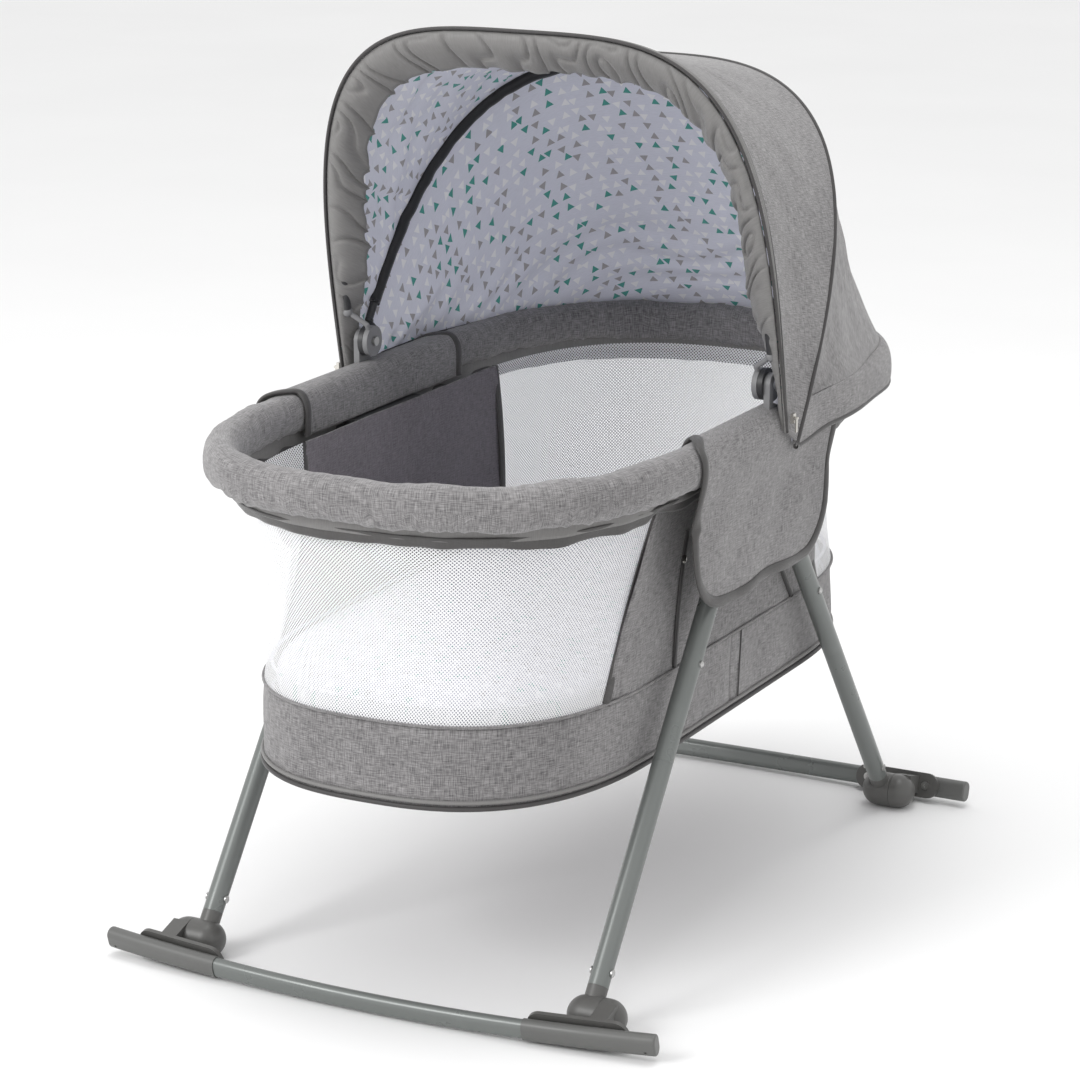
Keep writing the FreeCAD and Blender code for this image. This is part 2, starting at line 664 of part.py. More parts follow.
def make_upper_leg(label, frame):
    """Upper tube, from the seam to the hub."""
    outer, wall = size("leg_outer") / 2, size("leg_wall")
    low, high = size("leg_seam") + size("tube_clearance"), leg_length() + size("leg_head")
    body = doc.addObject("PartDesign::Body", "tube")
    sketch = plane_sketch(body, "XZ_Plane")
    draw_step_profile(sketch, [(outer - wall, low), (outer, low), (outer, high), (outer - wall, high)])
    revolve(body, sketch)
    hub = cylinder("sheet.hub_pin_radius + sheet.running_gap", "sheet.leg_outer + 2",
                   Vector(-outer - 1, 0, leg_length()), X_AXIS)
    return drilled(body, [snap_hole(), hub], frame, label)


def make_foot_sockets(label, rear):
    """Inner lobes of the feet, each with a collar and a spigot for the leg tube."""
    sockets = []
    for side in (1, -1):
        radius = size("foot_radius")
        offset = size("leg_x")
        round_x = size("foot_inner_x") + radius - offset
        face_x = size("foot_split_x") - size("foot_gap") / 2 - offset
        spigot = "sheet.leg_outer / 2 - sheet.leg_wall - sheet.tube_clearance"
        lobe = cylinder("sheet.foot_radius", f"{face_x - round_x}", Vector(round_x, 0, 0), X_AXIS)
        end = ball("sheet.foot_radius", Vector(round_x, 0, 0))
        cutter = block("4 * sheet.foot_radius", "4 * sheet.foot_radius", "4 * sheet.foot_radius",
                       Vector(face_x, -2 * radius, -2 * radius))
        collar = cylinder("sheet.leg_outer / 2", "sheet.leg_start - sheet.tube_clearance")
        plug = cylinder(spigot, "sheet.leg_start + sheet.foot_spigot")
        pin = cylinder("sheet.foot_pin_radius + sheet.running_gap",
                       "sheet.foot_split_x - sheet.foot_inner_x - sheet.foot_pin_inset",
                       Vector(size("foot_inner_x") + size("foot_pin_inset") - offset, 0, 0), X_AXIS)
        rivet = cylinder("sheet.leg_rivet_radius", "sheet.leg_outer + 2",
                         Vector(-size("leg_outer") / 2 - 1, 0, size("leg_rivet_at")), X_AXIS)
        socket = cut(fuse(lobe, cut(end, cutter), collar, plug), pin, rivet)
        socket.Placement = leg_frame(rear, side)
        sockets.append(socket)
    return group(sockets, label)


def make_foot_rivets(label, rear):
    """Rivets through the leg tubes and their sockets."""
    rivets = []
    for side in (1, -1):
        half = size("leg_outer") / 2
        at = size("leg_rivet_at")
        shank = cylinder("sheet.leg_rivet_radius", "sheet.leg_outer + 1", Vector(-half - 0.5, 0, at), X_AXIS)
        heads = [cylinder("sheet.leg_rivet_head", "sheet.leg_rivet_tall", Vector(end * (half - 0.1), 0, at),
                          X_AXIS * end) for end in (1, -1)]
        hollow = cylinder("sheet.leg_outer / 2", "4 * sheet.leg_rivet_head",
                          Vector(0, 0, at - 2 * size("leg_rivet_head")))
        rivet = fuse(shank, cut(fuse(*heads), hollow))
        rivet.Placement = leg_frame(rear, side)
        rivets.append(rivet)
    return group(rivets, label)


def make_snap_button(label, frame):
    """Spring button that locks the two leg tubes, with a flange inside them."""
    outer = size("leg_outer") / 2
    inner = outer - 2 * size("leg_wall") - size("tube_clearance")
    travel, flange = size("snap_proud"), size("snap_flange")
    flange_x = inner - travel
    dome = size("snap_radius") * 0.6
    stem = cylinder("sheet.snap_radius", f"{outer + travel - flange_x - dome}",
                    Vector(flange_x, 0, 0), X_AXIS)
    top = ball("sheet.snap_radius", Vector(outer + travel - size("snap_radius"), 0, 0))
    rim = cylinder("sheet.snap_radius + sheet.snap_flange", "sheet.snap_flange",
                   Vector(flange_x - flange, 0, 0), X_AXIS)
    button = fuse(stem, top, rim)
    button.Placement = frame * Placement(Vector(0, 0, size("snap_at")), Rotation())
    return keep(button, label)


def make_legs(end, rear):
    """The two legs of one end with their sockets, rivets and buttons."""
    for name, side in {"right": 1, "left": -1}.items():
        frame = leg_frame(rear, side)
        make_lower_leg(f"{end}_{name}_lower_leg", frame)
        make_upper_leg(f"{end}_{name}_upper_leg", frame)
        make_snap_button(f"{end}_{name}_snap_button", frame)
    make_foot_sockets(f"{end}_foot_sockets", rear)
    make_foot_rivets(f"{end}_foot_rivets", rear)


# ---------------------------------------------------------------- hubs and rim
def hub_faces():
    """Inner and outer faces of the space that the leg tubes turn in."""
    reach = size("leg_outer") / 2 + size("hub_side_gap")
    return size("leg_x") - reach, size("leg_x") + reach


def make_hubs():
    """Inner plate with web, and outer cheek with the block that holds the rim tubes."""
    inner_x, outer_x = hub_faces()
    half = size("hub_half")
    low = size("hub_z") - size("hub_drop")
    holes = []
    for _ in range(2):
        for end in (1, -1):
            place = Vector(inner_x - 10, end * size("hub_y"), size("hub_z"))
            holes.append(cylinder("sheet.hub_pin_radius", "sheet.leg_outer + 30", place, X_AXIS))
    plate_tall = f"sheet.hub_web_z + sheet.hub_cheek - {low}"
    plate_x = inner_x - size("hub_plate")
    plate = block("sheet.hub_plate", "2 * sheet.hub_half", plate_tall, Vector(plate_x, -half, low))
    web = block(f"{outer_x - inner_x - 0.2 + size('hub_plate')}", "2 * sheet.hub_half", "sheet.hub_cheek",
                Vector(plate_x, -half, size("hub_web_z")))
    mirrored(keep(cut(fuse(plate, web), *holes[:2]), "right_hub_inner"), "left_hub_inner")

    cheek = block("sheet.hub_cheek", "2 * sheet.hub_half", f"sheet.hub_web_z + sheet.hub_cheek + 2 - {low}",
                  Vector(outer_x, -half, low))
    base_z = size("hub_web_z") + size("hub_cheek") + 0.2
    block_low = size("rim_width") - size("rim_tube") / 2 - 2.5
    holder = block("sheet.rim_tube + 5", "2 * sheet.hub_half", f"sheet.hub_top_z - {base_z}",
                   Vector(block_low, -half, base_z))
    bore = cylinder("sheet.rim_tube / 2", "2 * sheet.hub_half + 2",
                    Vector(size("rim_width"), -half - 1, size("rim_z")), Y_AXIS)
    mirrored(keep(cut(fuse(cheek, holder), bore, *holes[2:]), "right_hub_outer"), "left_hub_outer")


def make_hub_pins():
    """Four pins that the legs turn on, headed at both ends."""
    inner_x, outer_x = hub_faces()
    start, end = inner_x - size("hub_plate"), outer_x + size("hub_cheek")
    pins = []
    for side in (1, -1):
        for sign in (1, -1):
            spot = Vector(side * start, sign * size("hub_y"), size("hub_z"))
            shank = cylinder("sheet.hub_pin_radius", f"{end - start}", spot, X_AXIS * side)
            inner = cylinder("sheet.hub_pin_head", "sheet.hub_pin_tall", spot, X_AXIS * -side)
            far = Vector(side * end, spot.y, spot.z)
            outer = cylinder("sheet.hub_pin_head", "sheet.hub_pin_tall", far, X_AXIS * side)
            pins.append(fuse(shank, inner, outer))
    return group(pins, "hub_pins")


def rim_path(start, sign):
    """Rim centre line at one end, between two points at a distance start from the middle."""
    wire = oval_wire(size("rim_width"), size("rim_length"), size("rim_z"))
    end = wire.Edges[0] if sign > 0 else wire.Edges[2]
    width, z, straight = size("rim_width"), size("rim_z"), size("straight_half")
    first = Part.LineSegment(Vector(sign * width, sign * start, z), Vector(sign * width, sign * straight, z))
    last = Part.LineSegment(Vector(-sign * width, sign * straight, z),
                            Vector(-sign * width, sign * start, z))
    return [first.toShape(), end, last.toShape()]


def make_rim():
    """Two bent rim tubes that meet in the hubs, each in a padded sleeve."""
    outer = size("rim_tube") / 2
    for end, sign in (("front", -1), ("rear", 1)):
        direction = Vector(0, sign, 0)
        start = Vector(sign * size("rim_width"), sign * size("rim_break"), size("rim_z"))
        path = rim_path(size("rim_break"), sign)
        shaped(swept_tube(path, start, direction, outer, outer - size("rim_wall")), f"{end}_rim_tube")
        reach = size("flap_half") + size("pad_to_flap")
        straight = size("straight_half")
        path = rim_path(min(reach, straight - 1e-3), sign)
        start = Vector(sign * size("rim_width"), sign * min(reach, straight - 1e-3), size("rim_z"))
        section = Part.Ellipse(start + Z_AXIS * size("pad_tall"), start + X_AXIS * size("pad_thick"), start)
        skin = swept(path, [section.toShape()])
        core = swept(path, [Part.Circle(start, direction, outer + size("pad_gap")).toShape()])
        shaped(skin.cut(core), f"{end}_rim_pad")


def make_flaps():
    """Cloth saddles over the rim at the hubs, hanging down outside over the legs' tops."""
    reach = size("pad_thick") + size("flap_over")
    thick = size("flap_thick")
    centre = Vector(size("rim_width"), 0, size("rim_z") + size("flap_over"))
    top = Vector(0, 0, size("pad_tall") + size("flap_over") - reach)
    half = size("flap_half")

    def arch(radius, low_in, low_out, draw):
        left, right = centre + top - X_AXIS * radius, centre + top + X_AXIS * radius
        crown = centre + top + Z_AXIS * radius
        inner = Part.LineSegment(Vector(left.x, 0, low_in), left)
        outer = Part.LineSegment(right, Vector(right.x - draw, 0, low_out))
        return [inner.toShape(), Part.Arc(left, crown, right).toShape(), outer.toShape()]

    low_in, low_out, draw = size("flap_inner_z"), size("flap_bottom_z"), size("flap_in")
    outside = arch(reach, low_in, low_out, draw)
    inside = arch(reach - thick, low_in, low_out, draw)
    ends = []
    for edge_a, edge_b, index in ((outside[0], inside[0], 0), (outside[2], inside[2], -1)):
        ends.append(Part.LineSegment(edge_a.Vertexes[index].Point, edge_b.Vertexes[index].Point).toShape())
    profile = Part.Wire(Part.__sortEdges__(outside + inside + ends))
    sheet_solid = Part.Face(profile).extrude(Vector(0, 2 * half, 0))
    sheet_solid.translate(Vector(0, -half, 0))
    corner = size("flap_corner")
    window = Part.makeBox(200, 2 * half, 300, Vector(size("rim_width") - 100, -half, low_out))
    lower = [edge for edge in window.Edges if edge.CenterOfMass.z < low_out + 1
             and abs(edge.Vertexes[0].Y - edge.Vertexes[1].Y) < 1e-6]
    trimmed = sheet_solid.common(window.makeFillet(corner, lower))
    post = canopy_post_box(0.6)
    mirrored(shaped(trimmed.cut(post), "right_side_flap"), "left_side_flap")


# ---------------------------------------------------------------- tub
def make_tub():
    """Cloth band, floor, board and mattress, and the four wall panels above the band."""
    cloth, straight = size("cloth"), size("straight_half")
    bottom = (size("tub_width"), size("tub_bottom_length"), size("band_bottom_z"))
    seam = (size("tub_width"), size("tub_seam_length"), size("band_top_z"))
    shaped(oval_wall(bottom, seam, cloth), "tub_lower_band")
    gap = size("panel_gap")

    make_oval_body("tub_floor", bottom[0] - cloth - gap, bottom[1] - cloth - 2 * gap, bottom[2],
                   "sheet.floor_thick")
    board_z = bottom[2] + size("floor_thick") + gap
    inside = size("inset")
    make_oval_body("base_board", bottom[0] - inside, bottom[1] - 2 * inside, board_z, "sheet.board_thick")
    mattress_z = board_z + size("board_thick") + gap
    body = make_oval_body("mattress", bottom[0] - inside, seam[1] - 2 * inside, mattress_z,
                          "sheet.mattress_thick")
    round_edges(body, "sheet.mattress_round")

    low = (seam[0], seam[1], seam[2] + gap)
    high = (size("wall_width"), size("wall_length"), size("wall_top_z"))
    wall = oval_wall(low, high, cloth)
    reach = 2 * size("rim_length")
    foot = wedge(-reach, size("foot_mesh_low_y"), size("foot_mesh_high_y"), low[2], high[2])
    head = wedge(-reach, size("head_mesh_low_y"), size("head_mesh_high_y"), low[2], high[2])
    head = head.mirror(Vector(), Y_AXIS)
    shaped(wall.common(foot), "foot_mesh_window")
    shaped(wall.common(head), "head_mesh_window")
    middle = middle_wedge(gap, low[2], high[2])
    right = Part.makeBox(reach, 2 * reach, reach, Vector(0, -reach, 0))
    side = wall.common(middle).common(right)
    mirrored(shaped(side, "right_side_panel"), "left_side_panel")


def make_oval_body(label, width, length, z, thickness):
    """Flat oval piece, padded from a sketch."""
    body = new_body(label, Placement(Vector(0, 0, z), Rotation()))
    sketch = plane_sketch(body, "XY_Plane")
    draw_oval(sketch, width, length)
    pad(body, sketch, thickness)
    return body


def round_edges(body, radius):
    """Fillet of a padded body's top and bottom edges."""
    doc.recompute()
    base = body.Tip
    faces = [f"Face{index + 1}" for index, face in enumerate(base.Shape.Faces)
             if abs(face.normalAt(0, 0).z) > 0.99]
    fillet = body.newObject("PartDesign::Fillet", "fillet")
    fillet.Base = (base, faces)
    bind(fillet, Radius=radius)


def wedge(far_y, low_y, high_y, low_z, high_z):
    """Space on the foot side of the slanted mesh edge."""
    span = 2 * size("rim_width")
    corners = [Vector(-span, far_y, low_z), Vector(-span, -low_y, low_z),
               Vector(-span, -high_y, high_z), Vector(-span, far_y, high_z)]
    face = Part.Face(Part.makePolygon(corners + corners[:1]))
    return face.extrude(Vector(2 * span, 0, 0))


def middle_wedge(gap, low_z, high_z):
    """Space between the two slanted mesh edges."""
    span = 2 * size("rim_width")
    foot_low, foot_high = size("foot_mesh_low_y") - gap, size("foot_mesh_high_y") - gap
    head_low, head_high = size("head_mesh_low_y") - gap, size("head_mesh_high_y") - gap
    corners = [Vector(-span, -foot_low, low_z), Vector(-span, -foot_high, high_z),
               Vector(-span, head_high, high_z), Vector(-span, head_low, low_z)]
    face = Part.Face(Part.makePolygon(corners + corners[:1]))
    return face.extrude(Vector(2 * span, 0, 0))


# ---------------------------------------------------------------- canopy
def canopy_stack():
    """X of each layer of the canopy joint, from inside out: (arm, bow end, post)."""
    arm = size("canopy_disc_x")
    bow = arm + size("canopy_disc_thick") + size("canopy_disc_gap")
    post = bow + size("canopy_disc_thick") + size("canopy_disc_gap")
    return arm, bow, post


def canopy_post_box(grow):
    """Space that a canopy post takes where it passes the flap."""
    _, _, post_x = canopy_stack()
    width = size("canopy_post_width")
    corner = Vector(post_x - grow, size("fold_y") - width / 2 - grow, size("hub_top_z"))
    tall = size("fold_z") - size("hub_top_z")
    return Part.makeBox(size("canopy_post") + 2 * grow, width + 2 * grow, tall, corner)


def make_canopy_posts():
    """Posts on the hubs that carry the canopy joint."""
    _, _, post_x = canopy_stack()
    y, z, width = size("fold_y"), size("fold_z"), size("canopy_post_width")
    post = block("sheet.canopy_post", "sheet.canopy_post_width", "sheet.fold_z - sheet.hub_top_z",
                 Vector(post_x, y - width / 2, size("hub_top_z")))
    top = cylinder("sheet.canopy_post_width / 2", "sheet.canopy_post", Vector(post_x, y, z), X_AXIS)
    foot = block("sheet.canopy_post + 10", "sheet.canopy_post_width", "sheet.canopy_foot",
                 Vector(post_x - 10, y - width / 2, size("hub_top_z")))
    hole = cylinder("sheet.canopy_screw_radius", "sheet.canopy_post + 2", Vector(post_x - 1, y, z), X_AXIS)
    mirrored(keep(cut(fuse(post, top, foot), hole), "right_canopy_post"), "left_canopy_post")


def make_canopy_screws():
    """Joint screws from the inner face into the posts."""
    arm, _, post_x = canopy_stack()
    length = post_x + size("canopy_post") - arm + 0.4
    screws = []
    for side in (1, -1):
        spot = Vector(side * (arm - 0.4), size("fold_y"), size("fold_z"))
        shank = cylinder("sheet.canopy_screw_radius", f"{length}", spot, X_AXIS * side)
        head = cylinder("sheet.canopy_screw_head", "2.4", spot, X_AXIS * -side)
        screws.append(fuse(shank, head))
    return group(screws, "canopy_joint_screws")


def rod_plane(kind):
    """Plane of a bow's rod with its half width and height: (placement, width, height)."""
    inset = size("bow_inset")
    width = size(f"{kind}_width") - inset
    plane = bow_plane(size(f"{kind}_y"), size(f"{kind}_z"), size(f"{kind}_tilt"))
    if kind == "front":
        back = Placement(Vector(0, size("front_back"), 0), Rotation())
        return plane * back, width, size("front_height") - inset
    crown = plane.multVec(Vector(0, 0, size("middle_height")))
    base = Vector(0, size("middle_rod_y"), size("middle_rod_z"))
    reach = crown - base
    tilt = math.degrees(math.atan2(-reach.y, reach.z))
    return bow_plane(base.y, base.z, tilt), width, reach.Length - inset


def bow_rod(kind):
    """A bow's rod inside the canopy, cut off above the canopy joint."""
    plane, width, height = rod_plane(kind)
    path = bow_curve(width, height, size(f"{kind}_power"))
    path.Placement = plane
    start = path.valueAt(path.FirstParameter)
    circle = Part.Circle(start, path.tangentAt(path.FirstParameter), size("bow_radius")).toShape()
    rod = swept([path], [circle])
    foot_z = size("fold_z") + size(f"{kind}_foot")
    return rod.cut(Part.makeBox(1000, 1000, 1000, Vector(-500, -500, foot_z - 1000)))


def rod_foot(kind, side):
    """Centre of a bow rod's lower end, just above its cut."""
    plane, width, height = rod_plane(kind)
    up = plane.Rotation.multVec(Z_AXIS)
    level = size("fold_z") + size(f"{kind}_foot") + size("bow_radius")
    reach = (level - plane.Base.z) / up.z
    power = size(f"{kind}_power")
    across = width * (1 - (reach / height) ** power) ** (1 / power)
    return plane.multVec(Vector(side * across, 0, reach))


def joint_arm(kind, layer_x, side):
    """Disc at the canopy joint with an arm out to a bow rod's foot."""
    disc_start = Vector(side * layer_x, size("fold_y"), size("fold_z"))
    direction = X_AXIS * side
    disc = Part.makeCylinder(size("canopy_disc"), size("canopy_disc_thick"), disc_start, direction)
    start = disc_start + direction * (size("canopy_disc_thick") / 2)
    foot = rod_foot(kind, side)
    radial = Vector(0, foot.y - start.y, foot.z - start.z).normalize()
    radius = size("canopy_disc_thick") / 2
    elbow = start + radial * (size("canopy_disc") + 2 * radius)
    arm = Part.makeCylinder(radius, (elbow - start).Length, start, elbow - start)
    outer_arm = Part.makeCylinder(radius, (foot - elbow).Length, elbow, foot - elbow)
    arm = arm.fuse([Part.makeSphere(radius, elbow), outer_arm])
    socket = Part.makeSphere(size("bow_radius") + 1, foot)
    thick = size("canopy_disc_thick")
    bore = Part.makeCylinder(size("canopy_screw_radius") + size("running_gap"), 3 * thick,
                             disc_start - direction * thick, direction)
    return disc.fuse([arm, socket]).cut(bore)


def make_bows():
    """Front bow with its two arms, and middle bow with its joint ends."""
    arm_x, bow_x, _ = canopy_stack()
    front = bow_rod("front")
    arms = [joint_arm("front", arm_x, side).cut(front) for side in (1, -1)]
    shaped(front, "canopy_front_bow")
    shaped(Part.makeCompound(arms), "front_bow_arms")
    middle = bow_rod("middle")
    ends = [joint_arm("middle", bow_x, side) for side in (1, -1)]
    shaped(middle.fuse(ends), "canopy_middle_bow")


def canopy_section(kind, grow=0.0):
    """Closed cloth outline in a bow's plane."""
    plane = bow_plane(size(f"{kind}_y"), size(f"{kind}_z"), size(f"{kind}_tilt"))
    return bow_band(size(f"{kind}_width") + grow, size(f"{kind}_height") + grow, size(f"{kind}_power"),
                    size("canopy_cloth"), plane)


def skirt_section(z):
    """Closed cloth outline round the head end of the rim at one height."""
    start = size("skirt_start")
    plane = Placement(Vector(0, start, z), Rotation(X_AXIS, -90))
    return bow_band(size("skirt_width"), size("skirt_length") - start, size("oval_power") + 0.9,
                    size("canopy_cloth"), plane)


def make_canopy_cloth():
    """Front panel between the bows, and rear panel from the middle bow down to the rim."""
    seam = Vector(0, size("panel_gap"), 0)
    front = Part.makeLoft([canopy_section("front"), canopy_section("middle")], True, True)
    shaped(front, "canopy_front_panel")
    skirts = [skirt_section(size("skirt_top_z")), skirt_section(size("skirt_bottom_z"))]
    rear = Part.makeLoft([canopy_section("middle")] + skirts, True, True)
    rear.translate(seam)
    shaped(rear.cut(front), "canopy_rear_panel")


def zip_y(z):
    """Front edge of the canopy at a height, just behind the piping."""
    rise = z - size("front_z")
    return size("front_y") - rise * math.tan(math.radians(size("front_tilt"))) + size("front_back")


def make_slider(side, pin):
    """Slider body with two ears, and the pin across them that a pull turns on."""
    reach = size("slider_thick") + size("pin_stand")
    wide, tall, ear = size("slider_wide"), size("slider_tall"), size("ear_radius")
    face_x = pin.x - side * reach
    low_x = min(face_x, face_x + side * size("slider_thick"))
    corner = Vector(low_x, pin.y - wide / 2, pin.z - tall / 2)
    pieces = [block("sheet.slider_thick", "sheet.slider_wide", "sheet.slider_tall", corner)]
    ear_x = min(face_x, face_x + side * (reach + ear))
    for ear_y in (pin.y - wide / 2, pin.y + wide / 2 - size("ear_wide")):
        pieces.append(block("sheet.slider_thick + sheet.pin_stand + sheet.ear_radius", "sheet.ear_wide",
                            "2 * sheet.ear_radius", Vector(ear_x, ear_y, pin.z - ear)))
    end = pin - Y_AXIS * (wide / 2)
    pieces.append(cylinder("sheet.pin_radius", "sheet.slider_wide", end, Y_AXIS))
    return fuse(*pieces)


def make_zips():
    """Zip sliders near the canopy's front corners and the pulls that turn on their pins."""
    face_x = max(size("front_width"), size("middle_width")) + size("panel_gap")
    pin_x = face_x + size("slider_thick") + size("pin_stand")
    z, wide = size("slider_z"), size("pull_wide")
    pin = Vector(pin_x, zip_y(z), z)
    sliders = [make_slider(1, pin), make_slider(-1, Vector(-pin.x, pin.y, pin.z))]
    group(sliders, "zip_sliders")
    near = pin - Y_AXIS * (wide / 2)
    knuckle = cylinder("sheet.knuckle_radius", "sheet.pull_wide", near, Y_AXIS)
    corner = near - X_AXIS * (size("pull_thick") / 2) - Z_AXIS * size("pull_length")
    tongue = block("sheet.pull_thick", "sheet.pull_wide", "sheet.pull_length", corner)
    bore = cylinder("sheet.pin_radius + sheet.pin_slack", "sheet.pull_wide + 2", near - Y_AXIS, Y_AXIS)
    mirrored(keep(cut(fuse(knuckle, tongue), bore), "right_zip_pull"), "left_zip_pull")


# ---------------------------------------------------------------- build
def main():
    """Build every sub-part, test it and write its file."""
    for end, rear in (("front", False), ("rear", True)):
        make_rocker(end, rear)
        make_legs(end, rear)
    make_hubs()
    make_hub_pins()
    make_rim()
    make_flaps()
    make_tub()
    make_canopy_posts()
    make_canopy_screws()
    make_bows()
    make_canopy_cloth()
    make_zips()
    doc.recompute()

    failed = [item.Name for item in doc.Objects if {"Invalid", "Error"} & set(item.State)]
    if failed:
        raise RuntimeError(f"failed objects: {failed}")
    for label, feature in parts.items():
        shape = feature.Shape
        if shape.isNull() or not shape.isValid() or not shape.Solids:
            raise RuntimeError(f"{label}: bad shape")
    os.makedirs("parts", exist_ok=True)
    for label, feature in parts.items():
        feature.Shape.exportStep(f"parts/{label}.step")
    print(f"{len(parts)} sub-parts")


main()
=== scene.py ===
"""Bassinet on a folding rocker stand: its cloth, canopy and finishes round the fixed frame.

Lengths are metres. X runs across the bassinet, -Y is the foot end, +Y the head end, Z is up.
"""
import logging
import math
from dataclasses import dataclass, field
from enum import Enum
from typing import Callable, Optional, Sequence, Union

import bpy
import numpy as np
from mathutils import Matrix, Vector


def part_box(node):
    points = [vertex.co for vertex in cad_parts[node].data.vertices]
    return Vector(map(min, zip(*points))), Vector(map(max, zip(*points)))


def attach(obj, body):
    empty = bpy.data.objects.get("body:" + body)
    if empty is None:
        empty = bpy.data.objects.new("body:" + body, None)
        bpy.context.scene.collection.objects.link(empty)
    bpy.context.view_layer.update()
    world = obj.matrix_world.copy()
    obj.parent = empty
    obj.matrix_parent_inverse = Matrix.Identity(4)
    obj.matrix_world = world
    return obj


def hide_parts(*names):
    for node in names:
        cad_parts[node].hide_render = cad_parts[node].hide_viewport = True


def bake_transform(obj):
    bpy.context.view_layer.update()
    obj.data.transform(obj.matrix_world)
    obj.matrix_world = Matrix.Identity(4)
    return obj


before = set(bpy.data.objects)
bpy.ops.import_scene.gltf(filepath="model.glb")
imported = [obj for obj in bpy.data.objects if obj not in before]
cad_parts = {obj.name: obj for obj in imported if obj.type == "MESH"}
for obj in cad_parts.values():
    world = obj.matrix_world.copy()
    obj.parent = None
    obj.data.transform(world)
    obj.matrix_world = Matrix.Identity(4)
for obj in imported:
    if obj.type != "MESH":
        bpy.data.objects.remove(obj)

logging.basicConfig(level=logging.INFO, format="%(message)s")
log = logging.getLogger("bassinet")

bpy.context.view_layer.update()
Array = np.ndarray
Socket = Union[bpy.types.NodeSocket, float, tuple]
UP = np.array([0.0, 0.0, 1.0])
ACROSS = np.array([1.0, 0.0, 0.0])


class Side(Enum):
    """Right and left of the bassinet, seen from the foot end."""
    RIGHT = 1
    LEFT = -1


class End(Enum):
    """The two ends of the tub."""
    FOOT = -1
    HEAD = 1


class Held(Enum):
    """How a sheet of cloth is held."""
    DRAPED = "draped"
    STRETCHED = "stretched"
    GATHERED = "gathered"


# ---------------------------------------------------------------- curves and surfaces
def run_length(points: Array) -> Array:
    """Distance along rows of points from the first one.

    Args:
        points: (..., n, 3) points, measured along the second last axis.

    Returns:
        (..., n) distances in metres.
    """
    steps = np.linalg.norm(np.diff(points, axis=-2), axis=-1)
    start = np.zeros(steps.shape[:-1] + (1,))
    return np.concatenate([start, np.cumsum(steps, axis=-1)], axis=-1)


def even(points: Array, count: int) -> Array:
    """Same curve with its points spaced evenly along it.

    Args:
        points: (n, 3) points of an open curve.
        count: number of points wanted.

    Returns:
        (count, 3) points.
    """
    run = run_length(points)
    wanted = np.linspace(0, run[-1], count)
    return np.stack([np.interp(wanted, run, points[:, axis]) for axis in range(3)], axis=1)


def smooth(value: Array) -> Array:
    """Smooth step, 3v^2 - 2v^3, of values held between 0 and 1."""
    held = np.clip(value, 0, 1)
    return held * held * (3 - 2 * held)


def ripples(across: Array, along: Array, scale: float, seed: int) -> Array:
    """Soft random relief: the mean of eight sine waves with seeded directions and phases.

    Args:
        across: first surface coordinate in metres.
        along: second surface coordinate in metres.
        scale: typical wave length in metres.
        seed: chooses the waves.

    Returns:
        Values of about -1 to 1, of the shape of the coordinates.
    """
    draw = np.random.default_rng(seed)
    total = np.zeros(np.broadcast(across, along).shape)
    waves = 8
    for turn, phase, stretch in draw.random((waves, 3)):
        angle = turn * math.tau
        number = math.tau / (scale * (0.6 + stretch))
        total += np.sin(number * (across * math.cos(angle) + along * math.sin(angle)) + phase * math.tau)
    return total / math.sqrt(waves * 2)


def normals(grid: Array) -> Array:
    """Unit normals of a grid: the cross product of its two tangents.

    Args:
        grid: (rows, columns, 3) points.

    Returns:
        (rows, columns, 3) unit vectors.
    """
    cross = np.cross(np.gradient(grid, axis=0), np.gradient(grid, axis=1))
    return cross / np.maximum(np.linalg.norm(cross, axis=-1, keepdims=True), 1e-12)


